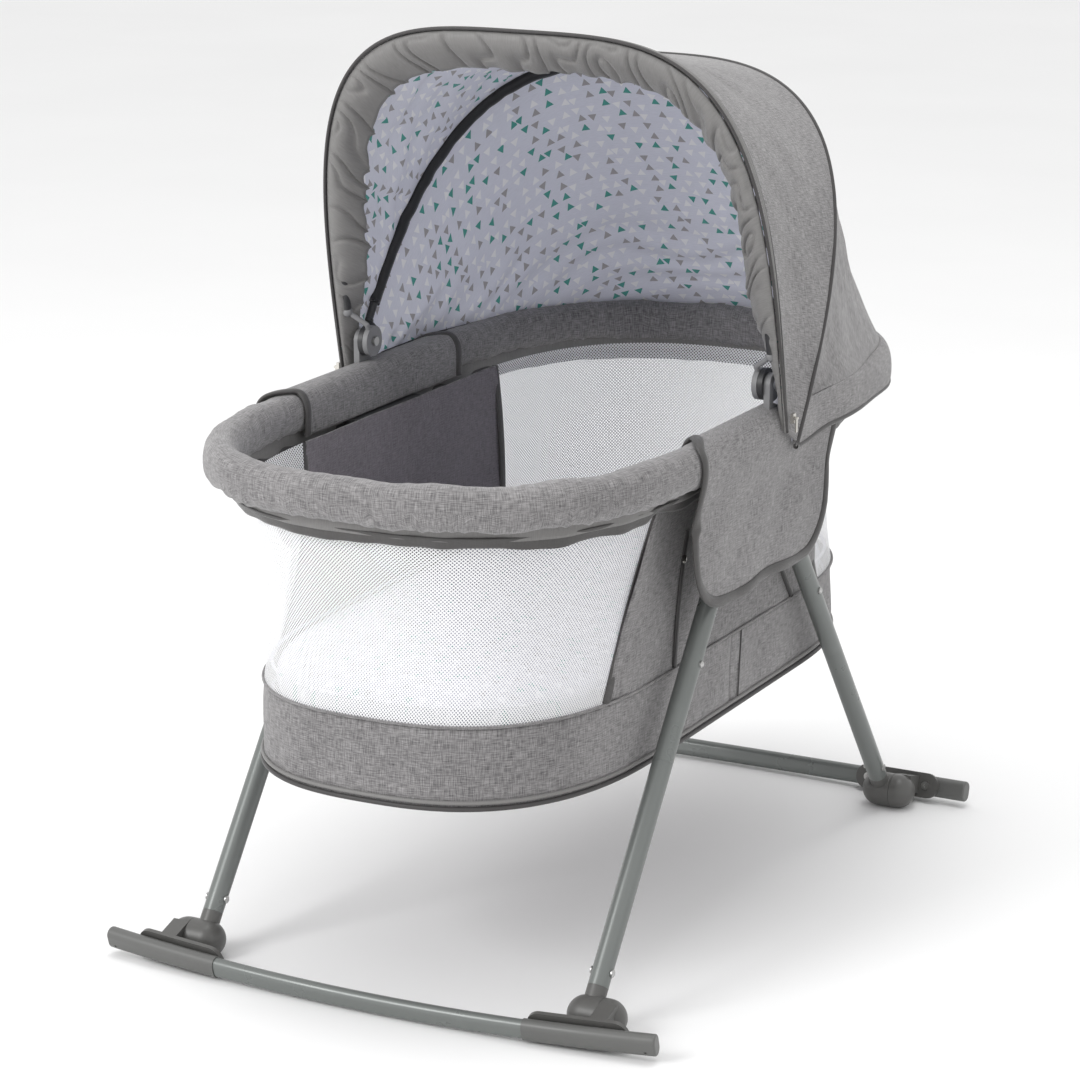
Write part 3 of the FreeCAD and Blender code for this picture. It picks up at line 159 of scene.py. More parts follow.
def surface(name: str, grid: Array, wrap: bool = False, flip: bool = False, caps: bool = False) -> bpy.types.Object:
    """Mesh of quads through a grid of points, with a UV map in metres named cloth.

    Args:
        name: name of the piece.
        grid: (rows, columns, 3) points; u runs down the rows, v along the columns.
        wrap: joins the last column to the first, for a tube.
        flip: turns the faces over.
        caps: closes a tube's two ends with a fan.

    Returns:
        The new object, at the origin.
    """
    rows, columns = grid.shape[:2]
    closed = np.concatenate([grid, grid[:, :1]], axis=1) if wrap else grid
    u = run_length(np.swapaxes(closed, 0, 1)).T
    u = np.broadcast_to(u.mean(axis=1, keepdims=True), u.shape)
    v = run_length(closed)
    index = np.arange(rows * columns).reshape(rows, columns)
    following = np.roll(index, -1, axis=1) if wrap else index[:, 1:]
    base = index if wrap else index[:, :-1]
    quads = np.stack([base[:-1], base[1:], following[1:], following[:-1]], axis=-1).reshape(-1, 4)
    spans = base.shape[1]
    corner_u = np.stack([u[:-1, :spans], u[1:, :spans], u[1:, 1:spans + 1], u[:-1, 1:spans + 1]], axis=-1)
    corner_v = np.stack([v[:-1, :spans], v[1:, :spans], v[1:, 1:spans + 1], v[:-1, 1:spans + 1]], axis=-1)
    uv = np.stack([corner_u.reshape(-1), corner_v.reshape(-1)], axis=-1)
    points = grid.reshape(-1, 3)
    faces = quads.tolist()
    if caps:
        points = np.concatenate([points, grid[:1].mean(axis=1), grid[-1:].mean(axis=1)])
        for row, centre, step in ((0, rows * columns, -1), (rows - 1, rows * columns + 1, 1)):
            ring = index[row][::step]
            fan = np.stack([ring, np.roll(ring, -1), np.full(columns, centre)], axis=-1)
            faces += fan.tolist()
            uv = np.concatenate([uv, points[fan.reshape(-1)][:, :2]])
    if flip:
        faces = [face[::-1] for face in faces]
        sizes = [len(face) for face in faces]
        starts = np.concatenate([[0], np.cumsum(sizes)])
        uv = np.concatenate([uv[a:b][::-1] for a, b in zip(starts[:-1], starts[1:])])
    mesh = bpy.data.meshes.new(name)
    mesh.from_pydata(points.tolist(), [], faces)
    layer = mesh.uv_layers.new(name="cloth")
    layer.data.foreach_set("uv", uv.reshape(-1).astype(np.float32))
    mesh.polygons.foreach_set("use_smooth", np.ones(len(faces), dtype=bool))
    mesh.update()
    piece = bpy.data.objects.new(name, mesh)
    bpy.context.scene.collection.objects.link(piece)
    return piece


def sweep(path: Array, across: Array, up: Array, section: Array, closed: bool = False) -> Array:
    """Section carried along a path: point = path + a * across + b * up at each station.

    Args:
        path: (n, 3) stations.
        across: (n, 3) unit vectors for the section's first axis.
        up: (n, 3) unit vectors for its second axis.
        section: (m, 2) or (n, m, 2) section points (a, b).
        closed: repeats the first station at the end.

    Returns:
        (n, m, 3) grid, or (n + 1, m, 3) if closed.
    """
    shape = section if section.ndim == 3 else section[None]
    grid = (path[:, None] + shape[..., :1] * across[:, None] + shape[..., 1:] * up[:, None])
    return np.concatenate([grid, grid[:1]]) if closed else grid


def section_ring(wide: float, tall: float, count: int, power: float = 2.0) -> Array:
    """Closed section |a/wide|^power + |b/tall|^power = 1.

    Args:
        wide: half width.
        tall: half height.
        count: number of points.
        power: 2 is an ellipse, more is fuller.

    Returns:
        (count, 2) points.
    """
    angle = np.linspace(0, math.tau, count, endpoint=False)
    cosine, sine = np.cos(angle), np.sin(angle)
    return np.stack([wide * np.sign(cosine) * np.abs(cosine) ** (2 / power),
                     tall * np.sign(sine) * np.abs(sine) ** (2 / power)], axis=1)


def tangents(path: Array, closed: bool) -> Array:
    """Unit tangents of a path, by central differences.

    Args:
        path: (n, 3) points.
        closed: the last point is followed by the first.

    Returns:
        (n, 3) unit vectors.
    """
    if closed:
        step = np.roll(path, -1, axis=0) - np.roll(path, 1, axis=0)
    else:
        step = np.gradient(path, axis=0)
    return step / np.linalg.norm(step, axis=1, keepdims=True)


def cord_tube(name: str, path: Array, radius: float, closed: bool = False, tall: Optional[float] = None,
              facing: Optional[Array] = None) -> bpy.types.Object:
    """Thin round or flat tube along a path, such as piping or binding.

    Args:
        name: name of the piece.
        path: (n, 3) centre line.
        radius: half width, across the facing direction.
        closed: the path is a loop.
        tall: half thickness along the facing direction; radius if left out.
        facing: (n, 3) directions the flat face looks in; up if left out.

    Returns:
        The tube.
    """
    direction = tangents(path, closed)
    look = np.broadcast_to(UP, path.shape) if facing is None else facing
    across = np.cross(direction, look)
    across /= np.maximum(np.linalg.norm(across, axis=1, keepdims=True), 1e-9)
    up = np.cross(across, direction)
    sides = 10
    ring = section_ring(radius, tall or radius, sides)
    grid = sweep(path, across, up, ring, closed)
    return surface(name, grid, wrap=True, caps=not closed, flip=True)


def add_thickness(piece: bpy.types.Object, thickness: float, offset: float = -1.0) -> None:
    """Gives a cloth piece its thickness.

    Args:
        piece: open surface.
        thickness: in metres.
        offset: -1 grows inwards from the surface, 1 outwards.
    """
    solid = piece.modifiers.new("thickness", "SOLIDIFY")
    solid.thickness = thickness
    solid.offset = offset
    solid.use_even_offset = False


def finish_piece(piece: bpy.types.Object, material: bpy.types.Material, body: str) -> bpy.types.Object:
    """Material and body of a new piece that moves with one body.

    Args:
        piece: the piece.
        material: its finish.
        body: the body it rides on.

    Returns:
        The piece.
    """
    piece.data.materials.clear()
    piece.data.materials.append(material)
    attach(piece, body)
    log.info("made %s on %s", piece.name, body)
    return piece


# ---------------------------------------------------------------- shader building
class Nodes:
    """Short ways to add and link shader nodes in one tree."""

    def __init__(self, tree: bpy.types.NodeTree) -> None:
        """Keeps the tree that nodes go into."""
        self.tree = tree

    def add(self, kind: str, inputs: dict[str, Socket], **settings: object) -> bpy.types.Node:
        """One node.

        Args:
            kind: Blender's node type.
            inputs: socket name or index to a socket or a value.
            settings: properties of the node.

        Returns:
            The node.
        """
        node = self.tree.nodes.new(kind)
        for name, value in settings.items():
            setattr(node, name, value)
        for name, value in inputs.items():
            self.feed(node.inputs[name], value)
        return node

    def feed(self, target: bpy.types.NodeSocket, value: Socket) -> None:
        """Links a socket to an input, or sets the input's own value."""
        if isinstance(value, bpy.types.NodeSocket):
            self.tree.links.new(value, target)
        else:
            target.default_value = value

    def math(self, operation: str, first: Socket, second: Socket = 0.0, third: Socket = 0.0) -> bpy.types.NodeSocket:
        """Result of a Math node."""
        node = self.add("ShaderNodeMath", {0: first, 1: second, 2: third}, operation=operation)
        return node.outputs[0]

    def stretch(self, vector: Socket, factors: tuple[float, float, float]) -> bpy.types.NodeSocket:
        """Vector times a constant, axis by axis."""
        node = self.add("ShaderNodeVectorMath", {0: vector, 1: factors}, operation="MULTIPLY")
        return node.outputs[0]

    def noise(self, vector: Socket, scale: Socket, detail: float = 2.0) -> bpy.types.NodeSocket:
        """Value of a noise texture, from 0 to 1."""
        node = self.add("ShaderNodeTexNoise", {"Vector": vector, "Scale": scale, "Detail": detail})
        return node.outputs["Fac"]

    def span(self, value: Socket, low: float, high: float, to_low: float = 0.0, to_high: float = 1.0
             ) -> bpy.types.NodeSocket:
        """Value moved from one range to another and held inside it."""
        node = self.add("ShaderNodeMapRange", {"Value": value, "From Min": low, "From Max": high,
                                               "To Min": to_low, "To Max": to_high})
        return node.outputs[0]

    def mix(self, amount: Socket, first: Socket, second: Socket) -> bpy.types.NodeSocket:
        """Blend of two colours."""
        node = self.add("ShaderNodeMix", {"Factor": amount}, data_type="RGBA")
        self.feed(node.inputs[6], first)
        self.feed(node.inputs[7], second)
        return node.outputs[2]

    def bump(self, height: Socket, strength: float, distance: float) -> bpy.types.NodeSocket:
        """Normal from a height.

        Args:
            height: 0 to 1.
            strength: how much of the relief shows.
            distance: real depth in metres.

        Returns:
            The normal.
        """
        node = self.add("ShaderNodeBump", {"Height": height, "Strength": strength, "Distance": distance})
        return node.outputs[0]


def colour(red: float, green: float, blue: float) -> tuple[float, float, float, float]:
    """Opaque colour from linear parts."""
    return (red, green, blue, 1.0)


class Effect:
    """A shader node group, built once and placed in each material that uses it."""

    def __init__(self, name: str, inputs: dict[str, float], outputs: Sequence[str],
                 build: Callable[[Nodes, bpy.types.Node], dict[str, Socket]]) -> None:
        """Builds the group.

        Args:
            name: name of the effect.
            inputs: number inputs with their defaults; a Vector input comes first.
            outputs: names of the values it puts out.
            build: adds the nodes, given the group's input node, and returns a socket for each output.
        """
        self.tree = bpy.data.node_groups.new(name, "ShaderNodeTree")
        self.tree.interface.new_socket("Vector", in_out="INPUT", socket_type="NodeSocketVector")
        for label, default in inputs.items():
            item = self.tree.interface.new_socket(label, in_out="INPUT", socket_type="NodeSocketFloat")
            item.default_value = default
        for label in outputs:
            self.tree.interface.new_socket(label, in_out="OUTPUT", socket_type="NodeSocketFloat")
        nodes = Nodes(self.tree)
        entry = nodes.add("NodeGroupInput", {})
        leave = nodes.add("NodeGroupOutput", {})
        for label, socket in build(nodes, entry).items():
            nodes.feed(leave.inputs[label], socket)

    def place(self, nodes: Nodes, vector: Socket, **values: float) -> dict[str, bpy.types.NodeSocket]:
        """Puts the effect into a material.

        Args:
            nodes: the material's nodes.
            vector: coordinates.
            values: its number inputs.

        Returns:
            Output name to socket.
        """
        node = nodes.add("ShaderNodeGroup", {}, node_tree=self.tree)
        nodes.feed(node.inputs["Vector"], vector)
        for label, value in values.items():
            nodes.feed(node.inputs[label], value)
        return {output.name: output for output in node.outputs}


def build_weave(nodes: Nodes, entry: bpy.types.Node) -> dict[str, Socket]:
    """Plain weave: height sin(x) sin(y) over the pitch, and streaks of thicker yarn both ways.

    Args:
        nodes: the group's nodes.
        entry: its input node.

    Returns:
        Height, Warp and Weft, from 0 to 1.
    """
    turn = nodes.math("DIVIDE", math.pi, entry.outputs["Pitch"])
    split = nodes.add("ShaderNodeSeparateXYZ", {0: entry.outputs["Vector"]})
    waves = [nodes.math("SINE", nodes.math("MULTIPLY", split.outputs[axis], turn)) for axis in (0, 1)]
    height = nodes.math("MULTIPLY_ADD", nodes.math("MULTIPLY", *waves), 0.5, 0.5)
    slub = entry.outputs["Slub"]
    fine = nodes.math("MULTIPLY", slub, 13.0)
    yarns = []
    for long_way in (0, 1):
        scales = [fine, fine]
        scales[long_way] = slub
        parts = [nodes.math("MULTIPLY", split.outputs[axis], scales[axis]) for axis in (0, 1)]
        place = nodes.add("ShaderNodeCombineXYZ", {0: parts[0], 1: parts[1], 2: float(long_way) * 7.0})
        yarns.append(nodes.span(nodes.noise(place.outputs[0], 1.0, 3.0), 0.36, 0.64))
    return {"Height": height, "Warp": yarns[0], "Weft": yarns[1]}


def build_cloud(nodes: Nodes, entry: bpy.types.Node) -> dict[str, Socket]:
    """Slow unevenness of tone: noise at a size, spread to 0 to 1.

    Args:
        nodes: the group's nodes.
        entry: its input node.

    Returns:
        Cloud.
    """
    scale = nodes.math("DIVIDE", 1.0, entry.outputs["Size"])
    return {"Cloud": nodes.span(nodes.noise(entry.outputs["Vector"], scale, 4.0), 0.3, 0.7)}


def build_grain(nodes: Nodes, entry: bpy.types.Node) -> dict[str, Socket]:
    """Moulded or painted grain with rubbed marks.

    Args:
        nodes: the group's nodes.
        entry: its input node.

    Returns:
        Height, and Rub, the mask of the rubbed marks.
    """
    scale = nodes.math("DIVIDE", 1.0, entry.outputs["Size"])
    height = nodes.noise(entry.outputs["Vector"], scale, 3.0)
    marks = nodes.noise(entry.outputs["Vector"], nodes.math("MULTIPLY", scale, 0.03), 6.0)
    return {"Height": height, "Rub": nodes.span(marks, 0.58, 0.78)}


def build_triangles(nodes: Nodes, entry: bpy.types.Node) -> dict[str, Socket]:
    """Scattered small triangles: in each random cell, the three edge distances of a turned triangle.

    Args:
        nodes: the group's nodes.
        entry: its input node.

    Returns:
        Mask inside a triangle, and Pick, a random number for each one.
    """
    scale = nodes.math("DIVIDE", 1.0, entry.outputs["Cell"])
    flat = nodes.add("ShaderNodeVectorMath", {0: entry.outputs["Vector"]}, operation="SCALE")
    nodes.feed(flat.inputs["Scale"], scale)
    cells = nodes.add("ShaderNodeTexVoronoi", {"Vector": flat.outputs[0], "Scale": 1.0, "Randomness": 0.62},
                      voronoi_dimensions="2D")
    local = nodes.add("ShaderNodeVectorMath", {0: flat.outputs[0], 1: cells.outputs["Position"]},
                      operation="SUBTRACT")
    split = nodes.add("ShaderNodeSeparateXYZ", {0: local.outputs[0]})
    chance = nodes.add("ShaderNodeSeparateColor", {0: cells.outputs["Color"]})
    flipped = nodes.math("MULTIPLY", nodes.math("ROUND", chance.outputs[0]), math.pi)
    quarter = math.pi / 2 - 0.15
    start = nodes.math("ADD", nodes.math("MULTIPLY_ADD", chance.outputs[2], 0.3, flipped), quarter)
    reaches = []
    for corner in range(3):
        angle = nodes.math("ADD", start, corner * math.tau / 3)
        along = nodes.math("MULTIPLY", split.outputs[0], nodes.math("COSINE", angle))
        reaches.append(nodes.math("MULTIPLY_ADD", split.outputs[1], nodes.math("SINE", angle), along))
    farthest = nodes.math("MAXIMUM", nodes.math("MAXIMUM", reaches[0], reaches[1]), reaches[2])
    inside = nodes.math("LESS_THAN", farthest, entry.outputs["Reach"])
    return {"Mask": inside, "Pick": chance.outputs[1]}


def build_net(nodes: Nodes, entry: bpy.types.Node) -> dict[str, Socket]:
    """Knitted net: yarn where two crossing diagonal waves are low, an open hole where both are high.

    Args:
        nodes: the group's nodes.
        entry: its input node.

    Returns:
        Yarn, from 0 in a hole to 1.
    """
    turn = nodes.math("DIVIDE", math.pi, entry.outputs["Pitch"])
    split = nodes.add("ShaderNodeSeparateXYZ", {0: entry.outputs["Vector"]})
    slants = [nodes.math("ADD", split.outputs[0], split.outputs[1]),
              nodes.math("SUBTRACT", split.outputs[0], split.outputs[1])]
    waves = [nodes.math("ABSOLUTE", nodes.math("SINE", nodes.math("MULTIPLY", slant, turn))) for slant in slants]
    hole = nodes.math("MINIMUM", *waves)
    opening = entry.outputs["Open"]
    edge = nodes.math("ADD", opening, 0.14)
    node = nodes.add("ShaderNodeMapRange", {"Value": hole, "From Min": opening, "From Max": edge,
                                            "To Min": 1.0, "To Max": 0.0})
    return {"Yarn": node.outputs[0]}


WEAVE = Effect("weave", {"Pitch": 0.0009, "Slub": 60.0}, ["Height", "Warp", "Weft"], build_weave)
CLOUD = Effect("cloud", {"Size": 0.08}, ["Cloud"], build_cloud)
GRAIN = Effect("grain", {"Size": 0.001}, ["Height", "Rub"], build_grain)
TRIANGLES = Effect("triangles", {"Cell": 0.02, "Reach": 0.15}, ["Mask", "Pick"], build_triangles)
NET = Effect("net", {"Pitch": 0.004, "Open": 0.4}, ["Yarn"], build_net)


class Finish:
    """Start of a material: its tree, Principled shader and coordinates."""

    def __init__(self, name: str) -> None:
        """Makes an empty material with a Principled shader."""
        self.material = bpy.data.materials.new(name)
        self.material.use_nodes = True
        self.nodes = Nodes(self.material.node_tree)
        self.shader = self.material.node_tree.nodes["Principled BSDF"]

    def set(self, **values: Socket) -> None:
        """Sets or links the shader's sockets; an underscore stands for a space."""
        for label, value in values.items():
            self.nodes.feed(self.shader.inputs[label.replace("_", " ")], value)

    def cloth_map(self) -> bpy.types.NodeSocket:
        """The piece's own UV map, in metres."""
        return self.nodes.add("ShaderNodeUVMap", {}, uv_map="cloth").outputs[0]

    def place(self) -> bpy.types.NodeSocket:
        """Object coordinates, in metres."""
        return self.nodes.add("ShaderNodeTexCoord", {}).outputs["Object"]


@dataclass(frozen=True)
class HeatherCloth:
    """Chambray of light and dark yarns."""
    name: str
    light: tuple[float, float, float, float]
    dark: tuple[float, float, float, float]
    pitch: float = 0.0010
    slub: float = 95.0

    def material(self) -> bpy.types.Material:
        """Builds the cloth: yarn streaks both ways, slow tone changes and a plain weave's relief."""
        finish = Finish(self.name)
        nodes = finish.nodes
        where = finish.cloth_map()
        weave = WEAVE.place(nodes, where, Pitch=self.pitch, Slub=self.slub)
        cloud = CLOUD.place(nodes, finish.place(), Size=0.09)["Cloud"]
        yarn = nodes.math("MULTIPLY_ADD", nodes.math("ADD", weave["Warp"], weave["Weft"]), 0.42,
                          nodes.math("MULTIPLY", cloud, 0.16))
        finish.set(Base_Color=nodes.mix(yarn, self.dark, self.light), Roughness=0.9, Sheen_Weight=0.25,
                   Sheen_Roughness=0.5, Specular_IOR_Level=0.25)
        relief = nodes.math("MULTIPLY_ADD", weave["Warp"], 0.4, nodes.math("MULTIPLY", weave["Height"], 0.6))
        finish.set(Normal=nodes.bump(relief, 0.55, 0.0004))
        return finish.material


@dataclass(frozen=True)
class SatinTrim:
    """Woven satin tape, for bindings and facings."""
    name: str
    tone: tuple[float, float, float, float]
    pitch: float = 0.0008

    def material(self) -> bpy.types.Material:
        """Builds the tape: fine cross ribs, a little unevenness and a satin sheen."""
        finish = Finish(self.name)
        nodes = finish.nodes
        where = finish.cloth_map()
        weave = WEAVE.place(nodes, where, Pitch=self.pitch, Slub=90.0)
        dark = tuple(part * 0.86 for part in self.tone[:3]) + (1.0,)
        finish.set(Base_Color=nodes.mix(weave["Weft"], dark, self.tone),
                   Roughness=nodes.span(weave["Warp"], 0.0, 1.0, 0.42, 0.56), Sheen_Weight=0.2,
                   Sheen_Roughness=0.35, Specular_IOR_Level=0.4)
        finish.set(Normal=nodes.bump(weave["Height"], 0.4, 0.0003))
        return finish.material


@dataclass(frozen=True)
class PrintedCotton:
    """Pale cotton printed with scattered triangles in three colours."""
    name: str
    ground: tuple[float, float, float, float]
    teal: tuple[float, float, float, float]
    grey: tuple[float, float, float, float]
    white: tuple[float, float, float, float]
    from_map: bool = True

    def material(self) -> bpy.types.Material:
        """Builds the print: triangles picked teal, grey or white over a pale ground, with the weave's relief."""
        finish = Finish(self.name)
        nodes = finish.nodes
        where = finish.cloth_map() if self.from_map else finish.place()
        weave = WEAVE.place(nodes, where, Pitch=0.0007, Slub=120.0)
        marks = TRIANGLES.place(nodes, where, Cell=0.0140, Reach=0.190)
        ink = nodes.mix(nodes.math("GREATER_THAN", marks["Pick"], 0.22), self.teal, self.grey)
        ink = nodes.mix(nodes.math("GREATER_THAN", marks["Pick"], 0.48), ink, self.white)
        shade = tuple(part * 0.93 for part in self.ground[:3]) + (1.0,)
        ground = nodes.mix(weave["Warp"], shade, self.ground)
        finish.set(Base_Color=nodes.mix(marks["Mask"], ground, ink), Roughness=0.85, Sheen_Weight=0.15,
                   Specular_IOR_Level=0.25)
        finish.set(Normal=nodes.bump(weave["Height"], 0.3, 0.0002))
        return finish.material


@dataclass(frozen=True)
class NetCloth:
    """See-through knitted net."""
    name: str
    tone: tuple[float, float, float, float]
    pitch: float = 0.0034
    opening: float = 0.56

    def material(self) -> bpy.types.Material:
        """Builds the net: yarns round open holes that let the inside show."""
        finish = Finish(self.name)
        nodes = finish.nodes
        yarn = NET.place(nodes, finish.cloth_map(), Pitch=self.pitch, Open=self.opening)["Yarn"]
        dark = tuple(part * 0.85 for part in self.tone[:3]) + (1.0,)
        finish.set(Base_Color=nodes.mix(yarn, dark, self.tone), Alpha=yarn, Roughness=0.7,
                   Specular_IOR_Level=0.3, Normal=nodes.bump(yarn, 0.6, 0.0004))
        return finish.material


@dataclass(frozen=True)
class HardFinish:
    """Painted metal, moulded plastic or plated steel."""
    name: str
    tone: tuple[float, float, float, float]
    rough: float
    grain: float
    relief: float
    metallic: float = 0.0
    rubbed: float = 1.35

    def material(self) -> bpy.types.Material:
        """Builds the finish: fine grain, uneven gloss and lighter rubbed marks."""
        finish = Finish(self.name)
        nodes = finish.nodes
        where = finish.place()
        grain = GRAIN.place(nodes, where, Size=self.grain)
        cloud = CLOUD.place(nodes, where, Size=0.05)["Cloud"]
        light = tuple(min(1.0, part * self.rubbed) for part in self.tone[:3]) + (1.0,)
        worn = nodes.math("MULTIPLY", grain["Rub"], 0.35)
        finish.set(Base_Color=nodes.mix(worn, self.tone, light), Metallic=self.metallic,
                   Roughness=nodes.span(cloud, 0.0, 1.0, self.rough - 0.05, self.rough + 0.07))
        finish.set(Normal=nodes.bump(grain["Height"], self.relief, 0.0002))
        return finish.material


@dataclass
class Finishes:
    """Every finish of the bassinet, built once."""
    heather: bpy.types.Material = field(default_factory=lambda: HeatherCloth(
        "heather cloth", colour(0.355, 0.345, 0.345), colour(0.055, 0.052, 0.055)).material())
    inner: bpy.types.Material = field(default_factory=lambda: HeatherCloth(
        "inner heather cloth", colour(0.24, 0.22, 0.24), colour(0.085, 0.075, 0.085)).material())
    trim: bpy.types.Material = field(default_factory=lambda: SatinTrim(
        "taupe satin", colour(0.205, 0.200, 0.196)).material())
    binding: bpy.types.Material = field(default_factory=lambda: SatinTrim(
        "dark taupe binding", colour(0.070, 0.067, 0.066)).material())
    piping: bpy.types.Material = field(default_factory=lambda: SatinTrim(
        "dark piping", colour(0.055, 0.052, 0.052)).material())
    lining: bpy.types.Material = field(default_factory=lambda: PrintedCotton(
        "printed lining", colour(0.83, 0.84, 0.93), colour(0.09, 0.36, 0.31), colour(0.42, 0.40, 0.41),
        colour(0.97, 0.97, 0.99)).material())
    bedding: bpy.types.Material = field(default_factory=lambda: PrintedCotton(
        "printed sheet", colour(0.52, 0.52, 0.60), colour(0.20, 0.36, 0.36), colour(0.36, 0.35, 0.39),
        colour(0.70, 0.70, 0.76), from_map=False).material())
    net: bpy.types.Material = field(default_factory=lambda: NetCloth(
        "white net", colour(0.86, 0.86, 0.87)).material())
    webbing: bpy.types.Material = field(default_factory=lambda: SatinTrim(
        "black sleeve", colour(0.02, 0.02, 0.022), 0.0012).material())
    paint: bpy.types.Material = field(default_factory=lambda: HardFinish(
        "grey tube paint", colour(0.165, 0.176, 0.170), 0.30, 0.0012, 0.12, 0.25).material())
    sleeve: bpy.types.Material = field(default_factory=lambda: HardFinish(
        "grey bar sleeve", colour(0.115, 0.116, 0.112), 0.38, 0.0010, 0.15).material())
    foot: bpy.types.Material = field(default_factory=lambda: HardFinish(
        "foot plastic", colour(0.095, 0.094, 0.090), 0.38, 0.0009, 0.3).material())
    joint: bpy.types.Material = field(default_factory=lambda: HardFinish(
        "joint plastic", colour(0.20, 0.20, 0.205), 0.45, 0.0009, 0.3).material())
    hub: bpy.types.Material = field(default_factory=lambda: HardFinish(
        "hub plastic", colour(0.07, 0.07, 0.072), 0.55, 0.0009, 0.35).material())
    steel: bpy.types.Material = field(default_factory=lambda: HardFinish(
        "plated steel", colour(0.50, 0.50, 0.49), 0.32, 0.0006, 0.15, 1.0, 1.2).material())
    nickel: bpy.types.Material = field(default_factory=lambda: HardFinish(
        "nickel", colour(0.58, 0.56, 0.52), 0.24, 0.0006, 0.1, 1.0, 1.2).material())
    rod: bpy.types.Material = field(default_factory=lambda: HardFinish(
        "bow rod", colour(0.03, 0.03, 0.032), 0.4, 0.0008, 0.2).material())


def keep_node(name: str, material: bpy.types.Material) -> None:
    """Gives a fixed part that stays in view its finish.

    Args:
        name: the part's node.
        material: its finish.
    """
    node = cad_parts[name]
    if not node.material_slots:
        node.data.materials.append(material)
    for slot in node.material_slots:
        slot.link = "OBJECT"
        slot.material = material


# ---------------------------------------------------------------- stand
@dataclass
class Stand:
    """Rockers, feet, legs and hubs: solid parts that only take their finishes."""
    finishes: Finishes

    def build(self) -> None:
        """Finishes every part of the stand."""
        kinds = {
            "_leg": self.finishes.paint, "_rocker_tube": self.finishes.paint,
            "_rocker_sleeves": self.finishes.sleeve, "_end_caps": self.finishes.sleeve,
            "_foot_bracket": self.finishes.foot, "_foot_sockets": self.finishes.foot,
            "_screws": self.finishes.steel, "_rivets": self.finishes.steel, "_pins": self.finishes.steel,
            "_snap_button": self.finishes.steel, "_hub_inner": self.finishes.hub,
            "_hub_outer": self.finishes.hub, "_rim_tube": self.finishes.paint,
        }
        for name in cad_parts:
            for ending, material in kinds.items():
                if name.endswith(ending) or name == "hub_pins":
                    keep_node(name, self.finishes.steel if name == "hub_pins" else material)
                    break
        log.info("finished the stand")


# ---------------------------------------------------------------- tub
@dataclass(frozen=True)
class Oval:
    """Level ring of the tub: straight sides, and ends that are fuller than half round."""
    width: float
    length: float
    z: float
    straight: float = 0.150
    power: float = 2.6

    def loop(self, count: int) -> Array:
        """Whole ring from the middle of the right side, anticlockwise seen from above.

        x = width |cos|^(2/power) and y = straight + (length - straight) |sin|^(2/power) on each end.

        Args:
            count: number of points; the last is one step before the first.

        Returns:
            (count, 3) evenly spaced points.
        """
        angle = np.linspace(0, math.pi, 241)
        x = self.width * np.sign(np.cos(angle)) * np.abs(np.cos(angle)) ** (2 / self.power)
        y = self.straight + (self.length - self.straight) * np.abs(np.sin(angle)) ** (2 / self.power)
        head = np.stack([x, y], axis=1)
        middle = np.array([[self.width, 0.0]])
        ring = np.concatenate([middle, head, -head, middle])
        points = np.column_stack([ring, np.full(len(ring), self.z)])
        return even(points, count + 1)[:-1]

    def half_width(self, along: Array) -> Array:
        """Distance from the middle plane to the ring at a place along Y."""
        past = np.clip((np.abs(along) - self.straight) / (self.length - self.straight), 0, 1)
        return self.width * (1 - past ** self.power) ** (1 / self.power)

    def end_angle(self, along: Array) -> Array:
        """Angle on an end at which the ring passes a distance from the middle."""
        past = np.clip((np.abs(along) - self.straight) / (self.length - self.straight), 0, 1)
        return np.arcsin(past ** (self.power / 2))

    def end_points(self, angle: Array) -> tuple[Array, Array]:
        """X and outward Y of the ring at angles on an end."""
        x = self.width * np.sign(np.cos(angle)) * np.abs(np.cos(angle)) ** (2 / self.power)
        y = self.straight + (self.length - self.straight) * np.abs(np.sin(angle)) ** (2 / self.power)
        return x, y


def outward(loop: Array) -> Array:
    """Level unit vectors pointing out of an anticlockwise loop."""
    out = np.cross(tangents(loop, True), UP)
    return out / np.linalg.norm(out, axis=1, keepdims=True)


